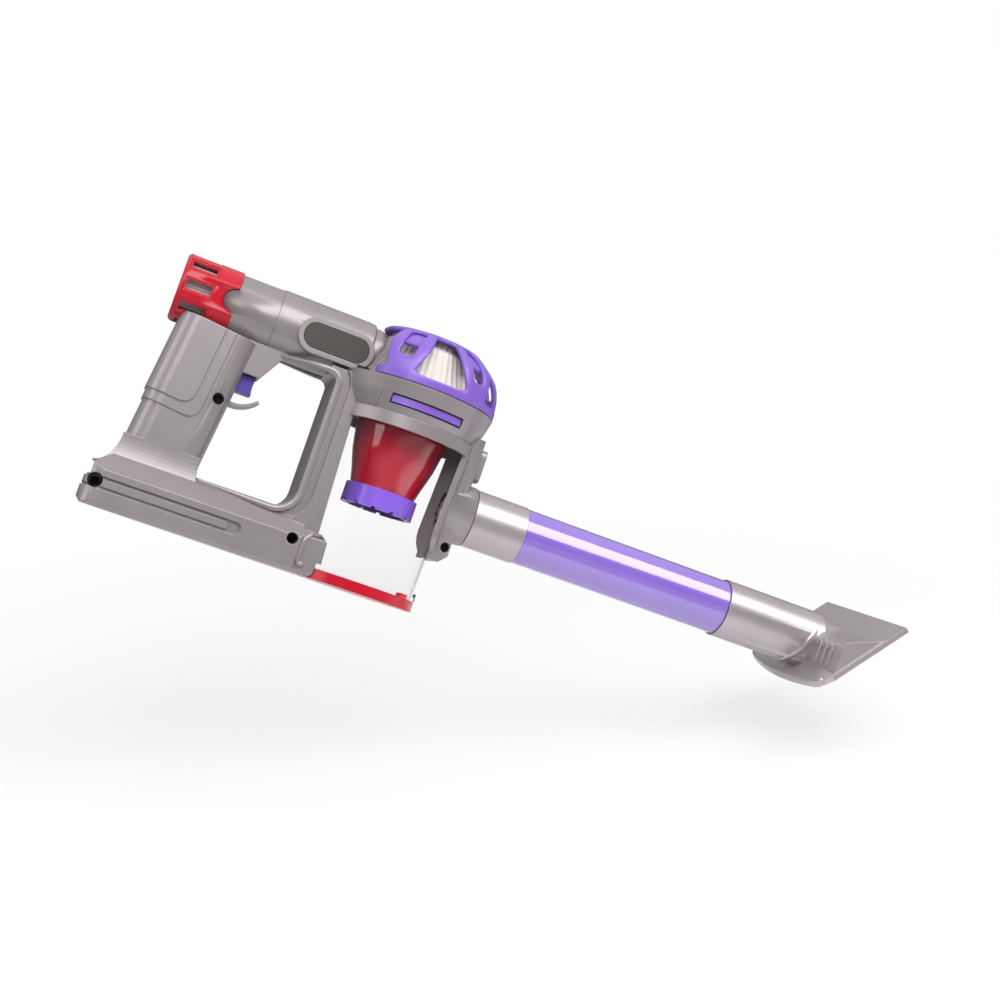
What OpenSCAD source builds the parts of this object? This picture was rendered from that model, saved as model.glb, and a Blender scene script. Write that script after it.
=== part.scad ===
// Toy hand-held vacuum cleaner with a clear dust bin, a plug-in wand and a turning wedge nozzle.
// X runs forward along the wand, Y to the left, Z up. X = 0 is the bin axis, Z = 0 the resting plane.

/* [Bin] */
// Outer radius of the clear bin at its top rim
bin_top_r = 32.5; // [28:0.1:36]
// Outer radius of the clear bin at its foot
bin_foot_r = 29.7; // [25:0.1:33]
// Height of the bin's top rim, inside the collar
bin_top_z = 83; // [74:0.5:92]
// Height of the bin's foot, above the flap
bin_foot_z = 5.4; // [4:0.1:8]
// Wall of the bin
bin_wall = 1.5; // [1:0.1:2.5]
// Height of the thicker foot rim
bin_rim_h = 1.6; // [1:0.1:3]
// Width of the catch at the front of the bin's foot
catch_w = 7; // [4:0.5:12]
// Height of that catch
catch_h = 3.6; // [2:0.1:6]
// Radius of the air inlet through the bin's front
inlet_r = 7.5; // [5:0.1:10]

/* [Flap] */
// Outer radius of the bin flap
flap_r = 31.2; // [28:0.1:34]
// Height of the flap's rim
flap_h = 5; // [3.5:0.1:7]
// Thickness of the flap's plate
flap_plate = 2.2; // [1.5:0.1:3]
// Width of the flap's rim
flap_rim = 3; // [2:0.1:5]
// Position of the flap's pivot behind the bin axis
pivot_back = 50; // [46:0.5:54]
// Radius of the flap's knuckle round the pivot
knuckle_r = 1.8; // [1.5:0.05:2.4]
// Radius of the flap's pin
flap_pin_r = 0.8; // [0.6:0.05:1.2]
// Half width of the flap's tail
tail_half_w = 12; // [8:0.5:16]
// Height of the latch nub over the flap's rim
nub_h = 2.4; // [1.5:0.1:4]
// Half width of the latch nub
nub_half_w = 6; // [3:0.5:9]

/* [Collar] */
// Height of the collar's top edge
collar_top_z = 99; // [94:0.5:106]
// Radius of the collar at its top edge
collar_top_r = 39.4; // [36:0.1:44]
// Height where the collar starts to draw in
collar_mid_z = 91; // [87:0.5:95]
// Radius of the collar at that height
collar_mid_r = 37.3; // [35:0.1:42]
// Height of the collar's low edge, over the band
collar_low_z = 84; // [81:0.5:86]
// Radius of the collar at its low edge
collar_low_r = 33.6; // [33:0.1:38]
// Height of the lower edge of the band round the bin
band_low_z = 78; // [72:0.5:81]
// Radius of the band round the bin
band_r = 34.5; // [33.6:0.1:38]
// Inner radius of the collar over its shelf
collar_bore_r = 33; // [29:0.1:35]
// Thickness of the shelf that carries the cyclone
shelf_t = 2.6; // [1.6:0.1:4]
// Radius of the hole in the shelf
shelf_bore_r = 23.4; // [20:0.1:27]
// Half length of the latch slot in the collar
slot_half_l = 17.8; // [10:0.1:22]
// Offset of the latch slot ahead of the bin axis
slot_shift = 2; // [0:0.1:5]
// Height of the latch slot's lower edge
slot_low_z = 87.6; // [85:0.1:90]
// Height of the latch slot
slot_h = 4.5; // [3:0.1:6]
// Gap round the latch bar in its slot
slot_gap = 0.6; // [0.3:0.05:1.2]
// Depth of the raised panel round the latch slot
panel_t = 0.5; // [0.2:0.05:1]

/* [Cage] */
// Outer radius of the cage's ring
cage_r = 39.6; // [36:0.1:44]
// Height of the cage's ring
cage_lip_h = 5; // [3:0.1:8]
// Height of the cage's flat top
cage_top_z = 127; // [122:0.5:136]
// Wall of the cage
cage_wall = 2.4; // [1.6:0.1:4]
// Distance from the bin axis to the cage's flat back
cage_back = 26.8; // [22:0.1:32]
// Half width of a large window at its foot
window_low_half = 13.6; // [6:0.1:16]
// Half width of a large window at its head
window_top_half = 7; // [3:0.1:9]
// Height of a large window's foot over the ring
window_rise = 0.7; // [0.3:0.1:2]
// Height of a large window's head under the flat top
window_drop = 3.6; // [3:0.1:6]
// Half width of a narrow slot
vent_slot_half = 2; // [1.5:0.1:4]
// Height of a narrow slot's foot over the ring
vent_slot_rise = 6.5; // [3:0.1:9]
// Number of windows round the cage
window_count = 6; // [4:1:8]
// Angle of the first window from the right-hand side
window_turn = 5; // [0:1:30]

/* [Filter] */
// Radius of the filter at its foot
filter_low_r = 33.2; // [28:0.1:35]
// Radius of the filter at its head
filter_top_r = 23; // [18:0.1:27]
// Share of the room under the cage's top that the filter fills
filter_share = 0.815; // [0.6:0.005:0.9]
// Thickness of the filter's foot flange
filter_flange_t = 1.8; // [1:0.1:3]
// Depth of a filter pleat
pleat_d = 0.9; // [0.4:0.1:1.5]
// Number of filter pleats
pleat_count = 60; // [24:1:90]
// Wall of the filter
filter_wall = 2.2; // [1.5:0.1:4]
// Radius of the grille over the filter
grille_r = 20; // [14:0.1:22]
// Number of ribs round the grille
grille_ribs = 36; // [18:1:60]

/* [Cyclone] */
// Radius of the cyclone's bell at its top
bell_top_r = 22.8; // [18:0.1:26]
// Radius of the bell where it meets the ring
bell_low_r = 15.9; // [12:0.1:19]
// Wall of the bell
bell_wall = 1.6; // [1:0.1:2.5]
// Radius of the bell's flange on the shelf
bell_flange_r = 27; // [25:0.1:31]
// Outer radius of the ring under the bell
ring_r = 17.7; // [15:0.1:21]
// Height of the ring's lower edge
ring_low_z = 40.5; // [34:0.5:45]
// Height of the ring
ring_h = 9.5; // [6:0.1:14]
// Depth of the bell's spigot in the ring
ring_grip = 4; // [2:0.1:6]
// Number of notches under the ring
notch_count = 12; // [6:1:20]
// Width of a notch
notch_w = 2; // [1.5:0.1:5]
// Height of a notch
notch_h = 0.9; // [0.6:0.1:3]

/* [Barrel] */
// Height of the barrel's axis
barrel_z = 108.7; // [104:0.1:114]
// Radius of the barrel
barrel_r = 16; // [14:0.1:18]
// Reduction of the barrel behind its step
barrel_step = 0.5; // [0.2:0.05:1]
// Distance of that step behind the bin axis
step_back = 74.7; // [70:0.1:80]
// Distance of the barrel's rear end behind the bin axis
barrel_back = 95; // [90:0.5:100]
// Distance where the barrel's front starts to taper
taper_back = 35.5; // [32:0.5:40]
// Distance of the barrel's front end
barrel_front_back = 19; // [14:0.5:24]
// Radius of the barrel's front end
barrel_front_r = 8; // [7:0.1:11]
// Radius of the barrel's bore
bore_r = 13.2; // [11:0.1:14]
// Distance of the bore's blind end behind the bin axis
bore_back = 42; // [39:0.5:46]
// Radius of the air duct ahead of the bore
duct_r = 7; // [4:0.1:9]
// Radius of the tongue on the barrel's rear edge
tongue_r = 6; // [4:0.1:8]
// Length of the badge ring
badge_l = 36.5; // [28:0.1:42]
// Height of the badge ring
badge_h = 17; // [13:0.1:20]
// Distance of the badge's middle behind the bin axis
badge_back = 45.5; // [40:0.1:52]
// Drop of the badge's middle under the barrel axis
badge_drop = 1.7; // [0:0.1:4]
// Stand of the badge ring over the barrel
badge_stand = 1.3; // [0.8:0.1:2]
// Width of the badge's ring
badge_rim = 2.4; // [1.5:0.1:4]
// Thickness of the badge plate
plate_t = 1.2; // [0.8:0.1:2]

/* [Vent cap] */
// Length of the vent cap
cap_l = 26.6; // [20:0.1:32]
// Stand of the cap over the barrel
cap_stand = 0.4; // [0.2:0.05:1]
// Wall of the cap
cap_wall = 1.8; // [1.2:0.1:3]
// Rounding of the cap's rear edge
cap_round = 2.2; // [1:0.1:4]
// Length of a cap slot
cap_slot_l = 11.5; // [6:0.1:15]
// Width of a cap slot
cap_slot_w = 4.2; // [2.5:0.1:6]
// Distance of the slots from the cap's rear face
cap_slot_in = 3.2; // [2:0.1:6]
// Number of slots round the cap
cap_slot_count = 9; // [6:1:12]
// Depth of the shallow recess round a cap slot
cap_recess_d = 0.7; // [0.3:0.05:1.2]
// Border of that recess round the slot
cap_recess_rim = 1.1; // [0.5:0.1:2]
// Radius of the ribbed core inside the cap
core_r = 13; // [11:0.1:13]
// Wall of the core
core_wall = 2; // [1.5:0.1:3]
// Depth of a core rib
core_rib_d = 0.7; // [0.4:0.1:1.2]
// Number of core ribs
core_rib_count = 36; // [18:1:48]
// Length of the core inside the barrel
core_in = 2; // [1:0.1:3]

/* [Grip] */
// Distance of the grip's front edge behind the bin axis, at the base
grip_front_back = 86.1; // [82:0.1:92]
// Depth of the grip from front to rear
grip_depth = 36; // [28:0.5:42]
// Width of the grip
grip_w = 29; // [22:0.5:34]
// Rounding of the grip's upright edges
grip_round = 9; // [4:0.5:12]
// Forward lean of the grip
grip_rake = 5.9; // [0:0.1:12]
// Height of the grip's head
grip_top_z = 96; // [92:0.5:102]
// Height of the grip's flared foot
foot_h = 9; // [4:0.5:14]
// Spread of the grip's flared foot
foot_spread = 4; // [1:0.1:6]
// Spread of the grip's foot to the rear
foot_tail = 9; // [4:0.5:12]
// Thickness of each overlay on the grip
pad_t = 0.7; // [0.3:0.05:1.2]
// Distance of the overlay behind the grip's front edge
pad_front = 10.5; // [6:0.1:16]
// Height of the overlay's lower edge over the base
pad_low = 25.5; // [18:0.5:34]
// Step from the first overlay to the second
pad_step = 5; // [2:0.1:8]
// Rounding of the overlay's lower corner
pad_round = 6; // [3:0.1:9]

/* [Trigger] */
// Height of the trigger's middle
trigger_z = 75.5; // [72:0.1:78]
// Height of the trigger
trigger_h = 8.5; // [6:0.1:11]
// Width of the trigger
trigger_w = 10; // [6:0.5:14]
// Distance of the trigger's front behind the bin axis
trigger_front_back = 72.3; // [70:0.1:75]
// Distance of the trigger's retaining flange behind the bin axis
flange_back = 84.2; // [83:0.1:87]
// Thickness of the retaining flange
flange_t = 1.8; // [1.2:0.1:3]
// Reach of the flange past the trigger on every side
flange_reach = 1.6; // [1:0.1:2.5]
// Travel of the trigger
trigger_travel = 3; // [1.5:0.1:4]
// Thickness of the trigger spring when pressed
spring_t = 2; // [1.2:0.1:3]
// Length of the switch behind the trigger
switch_l = 8; // [5:0.5:12]
// Width of the switch
switch_w = 6; // [4:0.5:9]
// Height of the switch
switch_h = 3.6; // [2.5:0.1:5]
// Radius of the finger guard under the trigger
guard_r = 14; // [11:0.1:17]
// Thickness of the finger guard
guard_t = 1.8; // [1.2:0.1:3]
// Half width of the finger guard
guard_half_w = 6; // [4:0.5:9]
// Half width of the web between trigger and barrel
web_half_w = 9; // [6:0.5:12]

/* [Base] */
// Distance of the base's rear end behind the bin axis
base_back = 132.5; // [124:0.5:140]
// Half width of the base
base_half_w = 24; // [20:0.5:28]
// Height of the base's flat top
base_top_z = 26.6; // [22:0.1:32]
// Half width of the flat top
base_top_half = 13; // [9:0.5:17]
// Height of the top of the base's upright sides
base_side_z = 16.3; // [14.5:0.1:19]
// Height of the upper edge of the bevel
base_bevel_z = 24; // [20:0.1:26]
// Half width at the upper edge of the bevel
base_bevel_half = 16.5; // [14:0.5:20]
// Rounding of the base's rear corners
base_corner = 9; // [4:0.5:12]
// Chamfer along the base's lower edges
base_edge = 1.8; // [0.8:0.1:3]
// Height of the rear top edge
rear_top_z = 19; // [17:0.1:24]
// Run of the rear slope
rear_slope_l = 9; // [4:0.5:14]
// Height of the side groove's lower edge
groove_low_z = 7.4; // [5.5:0.1:9]
// Height of the side groove
groove_h = 5.8; // [4:0.1:7]
// Depth of the side groove
groove_d = 1.4; // [0.8:0.1:2]
// Distance of the groove's round end behind the bin axis
groove_back = 59.4; // [54:0.1:70]
// Gap between the groove and the bar in it
groove_gap = 1.2; // [0.8:0.1:1.8]
// Distance of the bar's round end behind the bin axis
bar_back = 65.3; // [60:0.1:76]
// Distance of the front block's start behind the bin axis
block_back = 31.8; // [28:0.1:36]
// Height of the front block
block_z = 20.6; // [16:0.1:25]
// Reduction of the front block's half width
block_in = 1.2; // [0.5:0.1:2.5]
// Chamfer of the front block's top edges
block_chamfer = 3; // [1:0.1:5]

/* [Strut] */
// Half width of the strut behind the bin
strut_half_w = 18; // [12:0.5:22]
// Distance of the hand loop's front edge behind the bin axis
loop_back = 40; // [37.5:0.1:44]
// Height of the hand loop's head
loop_top_z = 93; // [88:0.5:97]
// Rounding of the loop's lower front corner
loop_low_round = 10; // [5:0.5:16]
// Rounding of the loop's upper front corner
loop_top_round = 4; // [2:0.5:8]
// Width of the strut's edge beside its channel
channel_edge = 3; // [2:0.1:4]
// Width of the strut's channel
channel_w = 4.2; // [2.5:0.1:5]
// Depth of the strut's channel
channel_d = 1.8; // [1:0.1:3]

/* [Bracket] */
// Front face of the bracket's spine ahead of the bin axis
spine_front = 38.8; // [37.5:0.1:42]
// Half width of the spine
spine_half_w = 12; // [10.5:0.5:15]
// Height of the spine's foot
spine_low_z = 26.9; // [22:0.1:32]
// Height of the spine's head
spine_top_z = 89; // [88:0.5:94]
// Chamfer under the spine's front foot
spine_chamfer = 5; // [2:0.1:9]
// Thickness of the saddle round the bin
saddle_t = 2.4; // [1.6:0.1:4]
// Half width of the saddle
saddle_half_w = 17; // [13:0.5:22]
// Rounding of the saddle's lower corners
saddle_round = 13; // [5:0.5:13]
// Radius of the wand socket
socket_r = 14.7; // [13.5:0.1:17]
// End of the wand socket ahead of the bin axis
socket_end = 43.8; // [41:0.1:50]
// Width of the bevel on the socket's end
socket_bevel = 0.6; // [0.3:0.05:1.2]
// Width of the release button
button_w = 13; // [9:0.5:15]
// Height of the release button's lower edge
button_low_z = 69.3; // [67.8:0.1:72]
// Height of the release button's upper edge
button_top_z = 85.4; // [80:0.1:86]
// Front of the release button ahead of the bin axis
button_front = 42; // [40:0.1:46]
// Reach of the button's flange inside the spine
button_reach = 1.2; // [0.8:0.1:2]
// Thickness of the button's flange
button_flange_t = 1.1; // [0.8:0.1:1.6]
// Travel of the release button
button_travel = 1.4; // [0.8:0.1:1.8]
// Thickness of the button spring when pressed
button_spring_t = 0.6; // [0.4:0.05:1]

/* [Wand] */
// Height of the wand's axis
wand_z = 52.6; // [46:0.1:58]
// Outer radius of the wand tube
tube_r = 13.75; // [12:0.05:16]
// Wall of the wand tube
tube_wall = 1.6; // [1:0.1:2.5]
// Visible length of the wand tube
tube_l = 111; // [70:1:220]
// Outer radius of the connector
connector_r = 14.2; // [12.8:0.1:16.5]
// Visible length of the connector
connector_l = 26.4; // [18:0.1:36]
// Gap between socket and connector
connector_gap = 0.3; // [0.2:0.05:0.8]
// Radius of the connector's plug
plug_r = 12; // [10.5:0.05:12.6]
// Length of the connector's plug
plug_l = 9; // [6:0.1:10]
// Radius of the connector's bore
wand_bore_r = 10; // [8:0.1:11]
// Length of each spigot inside the tube
spigot_l = 12; // [8:0.5:18]

/* [Nozzle] */
// Outer radius of the nozzle's neck
neck_r = 14.7; // [13.5:0.1:17]
// Length of the neck before the wedge
neck_l = 51; // [34:0.5:70]
// Half width of the nozzle's mouth
mouth_half_w = 45; // [35:0.5:60]
// Length of the mouth from heel to toe
mouth_l = 51.6; // [44:0.2:60]
// Slope of the mouth
mouth_slope = 50.5; // [44:0.5:58]
// Height of the heel's corners under the wand axis
heel_drop = 19.2; // [17:0.1:24]
// Distance of the heel behind the wedge's rear wall
heel_back = 3.5; // [1:0.1:6]
// Bow of the heel at its middle
heel_bow = 5; // [2:0.1:8]
// Rounding of the heel's corners
heel_round = 7; // [3:0.5:10]
// Thickness of the lip round the mouth
lip_t = 2.6; // [1.6:0.1:4]
// Inset of the wedge from the lip's ends
lip_in = 1.2; // [0.6:0.1:3]
// Height of the wedge's rear wall over the wand axis
wedge_rise = 5.4; // [2:0.1:9]
// Rise of the wedge's roof from rear to toe
roof_rise = 9.6; // [6:0.1:13]
// Length of the wedge's roof
roof_l = 27; // [24:0.2:30]
// Rounding of the wedge's upper rear edge
wedge_round = 3.5; // [1.5:0.1:5]
// Wall of the wedge
wedge_wall = 2; // [1.4:0.1:3]
// Radius of the nozzle's bore
nozzle_bore_r = 10.5; // [8:0.1:11]
// Width of a grip rib on the rear wall
rib_w = 1.4; // [0.8:0.1:2.5]
// Stand of a grip rib
rib_stand = 0.9; // [0.5:0.1:1.6]
// Height of a grip rib
rib_h = 11; // [6:0.5:14]
// Spacing of the grip ribs
rib_pitch = 6.4; // [4:0.1:8]
// Number of grip ribs beside the neck
rib_count = 3; // [1:1:4]
// Turn of the nozzle on the wand
nozzle_turn = 6; // [-20:1:20]

/* [Power] */
// Radius of the motor
motor_r = 11.5; // [8:0.1:12]
// Length of the motor
motor_l = 30; // [20:0.5:34]
// Radius of the motor's shaft
shaft_r = 1.5; // [1:0.1:2]
// Length of the motor's shaft
shaft_l = 12; // [9:0.1:14]
// Thickness of the motor's mount
mount_t = 2.4; // [1.5:0.1:4]
// Radius of the fan
fan_r = 12; // [9:0.1:12.4]
// Length of the fan
fan_l = 8; // [5:0.1:10]
// Radius of the fan's hub
hub_r = 4; // [3:0.1:5]
// Thickness of a fan blade
blade_t = 1; // [0.7:0.1:1.6]
// Number of fan blades
blade_count = 8; // [5:1:12]
// Radius of a battery cell
cell_r = 7.1; // [5:0.05:7.3]
// Length of a battery cell
cell_l = 50; // [40:0.5:50.5]
// Radius of a cell's button
cell_nub_r = 2.7; // [2:0.1:3.5]
// Length of a cell's button
cell_nub_l = 1; // [0.6:0.1:1.5]
// Distance of the battery bay's rear wall behind the bin axis
bay_back = 119; // [116:0.5:122]
// Length of the battery bay
bay_l = 55; // [53:0.5:58]
// Thickness of the contact plates
contact_t = 0.6; // [0.4:0.1:1]
// Thickness of the battery door
door_t = 2; // [1.4:0.1:3]
// Width of the ledge round the battery door
door_ledge = 2; // [1.2:0.1:3]
// Length of the battery door's screw tab
door_tab = 6; // [5:0.5:8]

/* [Screws] */
// Radius of the rear screw well
rear_well_r = 3.4; // [2.6:0.1:4]
// Radius of the base and grip screw wells
well_r = 2.7; // [2.4:0.1:3.4]
// Radius of the bracket screw well
bracket_well_r = 2.4; // [2.3:0.05:3]
// Radius of a screw head
head_r = 2.2; // [1.6:0.05:2.25]
// Thickness of a screw head
head_t = 1.6; // [1:0.1:2.2]
// Radius of a screw shank
shank_r = 1.1; // [0.8:0.05:1.4]
// Length of a screw shank
shank_l = 12; // [8:0.5:16]
// Distance from the seam to the seat of a screw head
seat_y = 6; // [4:0.1:7]
// Distance of the rear screw behind the bin axis
rear_screw_back = 126.8; // [124:0.1:130]
// Height of the rear screw
rear_screw_z = 10.7; // [9:0.1:12]
// Distance of the base screw behind the bin axis
base_screw_back = 36; // [34:0.1:44]
// Height of the base screw
base_screw_z = 14.6; // [11:0.1:16]
// Distance of the grip screw behind the bin axis
grip_screw_back = 87.7; // [85:0.1:94]
// Height of the grip screw
grip_screw_z = 64.2; // [56:0.1:65]
// Position of the bracket screw ahead of the bin axis
bracket_screw_x = 35.4; // [34:0.1:36]
// Height of the bracket screw
bracket_screw_z = 34.4; // [32:0.1:37]

/* [Fits] */
// Overrun of every cut
overrun = 0.5; // [0.2:0.1:1]
// Clearance between fixed pieces
fixed_gap = 0.3; // [0.1:0.05:0.5]
// Clearance round sliding and swinging pieces
slide_gap = 0.4; // [0.2:0.05:0.6]
// Radial clearance of running fits
running_gap = 0.05; // [0.02:0.01:0.09]

/* [Hidden] */
$fn = 64;
dome_r_shares = [0.985, 0.938, 0.855, 0.745, 0.64, 0.56];
dome_z_shares = [0.22, 0.44, 0.63, 0.785, 0.91, 1];
bell_r_shares = [1, 0.974, 0.89, 0.75];
bell_z_shares = [1, 0.76, 0.455, 0.145];
pivot_x = -pivot_back;
pivot_z = knuckle_r;
shelf_top_z = bin_top_z + fixed_gap + shelf_t;
cage_low_z = collar_top_z + fixed_gap;
lip_top_z = cage_low_z + cage_lip_h;
filter_low_z = collar_top_z + filter_flange_t;
filter_top_z = filter_low_z + (cage_top_z - cage_wall - filter_low_z) * filter_share;
bell_low_z = ring_low_z + ring_h;
bell_h = shelf_top_z - bell_low_z;
barrel_rear_x = -barrel_back;
cap_r = barrel_r + cap_stand;
cap_rear_x = barrel_rear_x - cap_l;
cap_in_r = cap_r - cap_wall;
groove_top_z = groove_low_z + groove_h;
base_rear_x = -base_back;
block_x = -block_back;
grip_mid_x = -grip_front_back - grip_depth / 2;
grip_l = (grip_top_z - base_top_z) / cos(grip_rake);
trigger_front_x = -trigger_front_back;
flange_x = -flange_back;
flange_half_w = trigger_w / 2 + flange_reach;
flange_half_h = trigger_h / 2 + flange_reach;
pocket_rear_x = flange_x - flange_t - trigger_travel - spring_t - slide_gap;
guard_x = trigger_front_x - trigger_h + fixed_gap;
guard_z = trigger_z + trigger_h / 2;
button_half_w = button_w / 2;
saddle_in_r = bin_top_r + fixed_gap;
button_floor = saddle_in_r + fixed_gap + fixed_gap;
button_back = button_floor + button_spring_t + button_travel + fixed_gap;
tube_in_r = tube_r - tube_wall;
connector_x = socket_end + connector_gap;
tube_x = connector_x + connector_l;
neck_x = tube_x + tube_l;
wedge_x = neck_x + neck_l;
heel_x = wedge_x - heel_back;
heel_z = wand_z - heel_drop;
motor_x = -bore_back - mount_t - motor_l;
fan_x = motor_x - shaft_l;
bay_x = -bay_back;
bay_half_w = 2 * cell_r + slide_gap;
bay_top_z = door_t + 2 * cell_r + 2 * slide_gap;
cell_z = door_t + cell_r + slide_gap;
cell_x = bay_x + 2 * contact_t + slide_gap;
door_front_x = bay_x + bay_l + door_ledge + door_tab;
door_screw_x = door_front_x - door_tab / 2;
screw_spots = [
    [-rear_screw_back, rear_screw_z, rear_well_r],
    [-base_screw_back, base_screw_z, well_r],
    [-grip_screw_back, grip_screw_z, well_r],
    [bracket_screw_x, bracket_screw_z, bracket_well_r]];
corner_steps = 6;
end_share = 0.47;
bar_share = 0.25;
strut_front_share = 0.7;
blend_share = 0.7;
guard_from = -105;
guard_to = -42;

function unit(v) = v / norm(v);
function corner(p, c, q, r) = let (
    u = unit(p - c),
    w = unit(q - c),
    half = acos(u * w) / 2,
    o = c + unit(u + w) * r / sin(half),
    s = c + u * r / tan(half),
    e = c + w * r / tan(half),
    a = atan2(s.y - o.y, s.x - o.x),
    d = atan2(e.y - o.y, e.x - o.x) - a,
    turn = d > 180 ? d - 360 : d < -180 ? d + 360 : d)
    [for (i = [0:corner_steps]) o + r * [cos(a + turn * i / corner_steps), sin(a + turn * i / corner_steps)]];
function rounded(v, r) = [for (i = [0:len(v) - 1])
    each r[i] > 0 ? corner(v[(i + len(v) - 1) % len(v)], v[i], v[(i + 1) % len(v)], r[i]) : [v[i]]];
function rect(x0, z0, x1, z1) = [[x0, z0], [x1, z0], [x1, z1], [x0, z1]];
function all_round(r) = [r, r, r, r];
function star(r, d, n) =
    [for (i = [0:2 * n - 1]) (i % 2 == 0 ? r : r - d) * [cos(180 * i / n), sin(180 * i / n)]];
function arc(r, from, to) = [for (i = [0:2 * corner_steps])
    r * [cos(from + (to - from) * i / (2 * corner_steps)), sin(from + (to - from) * i / (2 * corner_steps))]];
function bin_r_at(z) = bin_foot_r + (bin_top_r - bin_foot_r) * (z - bin_foot_z) / (bin_top_z - bin_foot_z);

// A profile drawn in Y and Z, run along X
module along_x(x0, x1) {
    translate([x0, 0, 0])
        rotate([90, 0, 90])
            linear_extrude(x1 - x0)
                children();
}

// A profile drawn in X and Z, run along Y
module along_y(y0, y1) {
    translate([0, y1, 0])
        rotate([90, 0, 0])
            linear_extrude(y1 - y0)
                children();
}

module rod_x(r, x0, x1) {
    translate([x0, 0, 0])
        rotate([0, 90, 0])
            cylinder(r = r, h = x1 - x0);
}

module rod_y(r, y0, y1) {
    translate([0, y0, 0])
        rotate([-90, 0, 0])
            cylinder(r = r, h = y1 - y0);
}

module slab(x0, x1, half_w, z0, z1) {
    translate([x0, -half_w, z0])
        cube([x1 - x0, 2 * half_w, z1 - z0]);
}

module bin_form(grow, z0, z1) {
    translate([0, 0, z0])
        cylinder(r1 = bin_r_at(z0) + grow, r2 = bin_r_at(z1) + grow, h = z1 - z0);
}

module at_barrel() {
    translate([0, 0, barrel_z])
        children();
}

module at_wand() {
    translate([0, 0, wand_z])
        children();
}

module at_grip() {
    translate([grip_mid_x, 0, base_top_z])
        rotate([0, grip_rake, 0])
            children();
}

// The base's outline seen from above, drawn in by an inset
module base_plan(inset, z0, z1) {
    half_w = base_half_w - inset;
    translate([0, 0, z0])
        linear_extrude(z1 - z0)
            polygon(rounded(rect(base_rear_x + inset, -half_w, block_x, half_w),
                [base_corner, 0, 0, base_corner]));
}

module groove_run(end_x, z0, z1) {
    round_r = (z1 - z0) * end_share;
    along_y(-base_half_w - overrun, base_half_w + overrun)
        polygon(rounded(rect(base_rear_x - overrun, z0, end_x, z1), [0, round_r, round_r, 0]));
}

module base_form() {
    upper_x = base_rear_x + 2 * groove_d;
    difference() {
        intersection() {
            base_plan(0, 0, base_top_z);
            along_x(base_rear_x - overrun, block_x + overrun)
                polygon([[base_edge - base_half_w, 0], [base_half_w - base_edge, 0], [base_half_w, base_edge],
                    [base_half_w, base_side_z], [base_bevel_half, base_bevel_z], [base_top_half, base_top_z],
                    [-base_top_half, base_top_z], [-base_bevel_half, base_bevel_z],
                    [-base_half_w, base_side_z], [-base_half_w, base_edge]]);
            along_y(-base_half_w - overrun, base_half_w + overrun)
                polygon([[base_rear_x + base_edge, 0], [block_x + overrun, 0], [block_x + overrun, base_top_z],
                    [upper_x + rear_slope_l, base_top_z], [upper_x, rear_top_z], [upper_x, groove_top_z],
                    [base_rear_x, groove_top_z], [base_rear_x, base_edge]]);
        }
        difference() {
            groove_run(-groove_back, groove_low_z, groove_top_z);
            base_plan(groove_d, groove_low_z - overrun, groove_top_z + overrun);
        }
    }
    intersection() {
        base_plan(groove_d * bar_share, groove_low_z, groove_top_z);
        groove_run(-bar_back, groove_low_z + groove_gap, groove_top_z - groove_gap);
    }
}

module block_form() {
    half_w = base_half_w - block_in;
    along_x(block_x - overrun, -flap_r / 2)
        polygon([[base_edge - half_w, 0], [half_w - base_edge, 0], [half_w, base_edge],
            [half_w, block_z - block_chamfer], [half_w - block_chamfer, block_z],
            [block_chamfer - half_w, block_z], [-half_w, block_z - block_chamfer], [-half_w, base_edge]]);
}

module grip_column(grow, z0, z1) {
    translate([0, 0, z0])
        linear_extrude(z1 - z0)
            polygon(rounded(rect(-grip_depth / 2 - grow, -grip_w / 2 - grow, grip_depth / 2, grip_w / 2 + grow),
                all_round(grip_round)));
}

module grip_pad(grow, set_in, low) {
    intersection() {
        grip_column(grow, low, grip_l - overrun);
        along_y(-grip_w, grip_w)
            polygon(rounded(rect(-grip_depth, low, grip_depth / 2 - set_in, grip_l), [0, pad_round, 0, 0]));
    }
}

// One side of a foot's section, a quarter of a hollow curve, listed upwards on the left and downwards on the right
function flare(side, half, spread, z0, z1) =
    [for (i = [0:2 * corner_steps])
        let (t = side < 0 ? 90 * i / (2 * corner_steps) : 90 - 90 * i / (2 * corner_steps))
            [side * (half + spread * (1 - sin(t))), z0 + (z1 - z0) * (1 - cos(t))]];

module grip_form() {
    foot_low_z = base_side_z + 2 * base_edge;
    foot_top_z = base_top_z + foot_h;
    rear_d = grip_depth / 2 + foot_tail;
    front_d = grip_depth / 2 + foot_spread;
    foot_w = grip_w / 2 + foot_spread;
    difference() {
        at_grip() {
            grip_column(0, -foot_h, grip_l);
            grip_pad(pad_t, pad_front, pad_low);
            grip_pad(2 * pad_t, pad_front + pad_step, pad_low + pad_step);
        }
        at_barrel()
            rod_x(cap_r + fixed_gap, cap_rear_x - grip_depth, barrel_rear_x);
    }
    translate([grip_mid_x, 0, 0])
        intersection() {
            translate([0, 0, foot_low_z])
                linear_extrude(foot_top_z - foot_low_z)
                    polygon(rounded(rect(-rear_d, -foot_w, front_d, foot_w), all_round(grip_round)));
            along_x(-rear_d - overrun, front_d + overrun)
                polygon(concat(flare(-1, grip_w / 2, foot_spread, foot_low_z, foot_top_z),
                    flare(1, grip_w / 2, foot_spread, foot_low_z, foot_top_z)));
            along_y(-foot_w - overrun, foot_w + overrun)
                polygon(concat(flare(-1, grip_depth / 2, foot_tail, foot_low_z, foot_top_z),
                    flare(1, grip_depth / 2, foot_spread, foot_low_z, foot_top_z)));
        }
}

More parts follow.
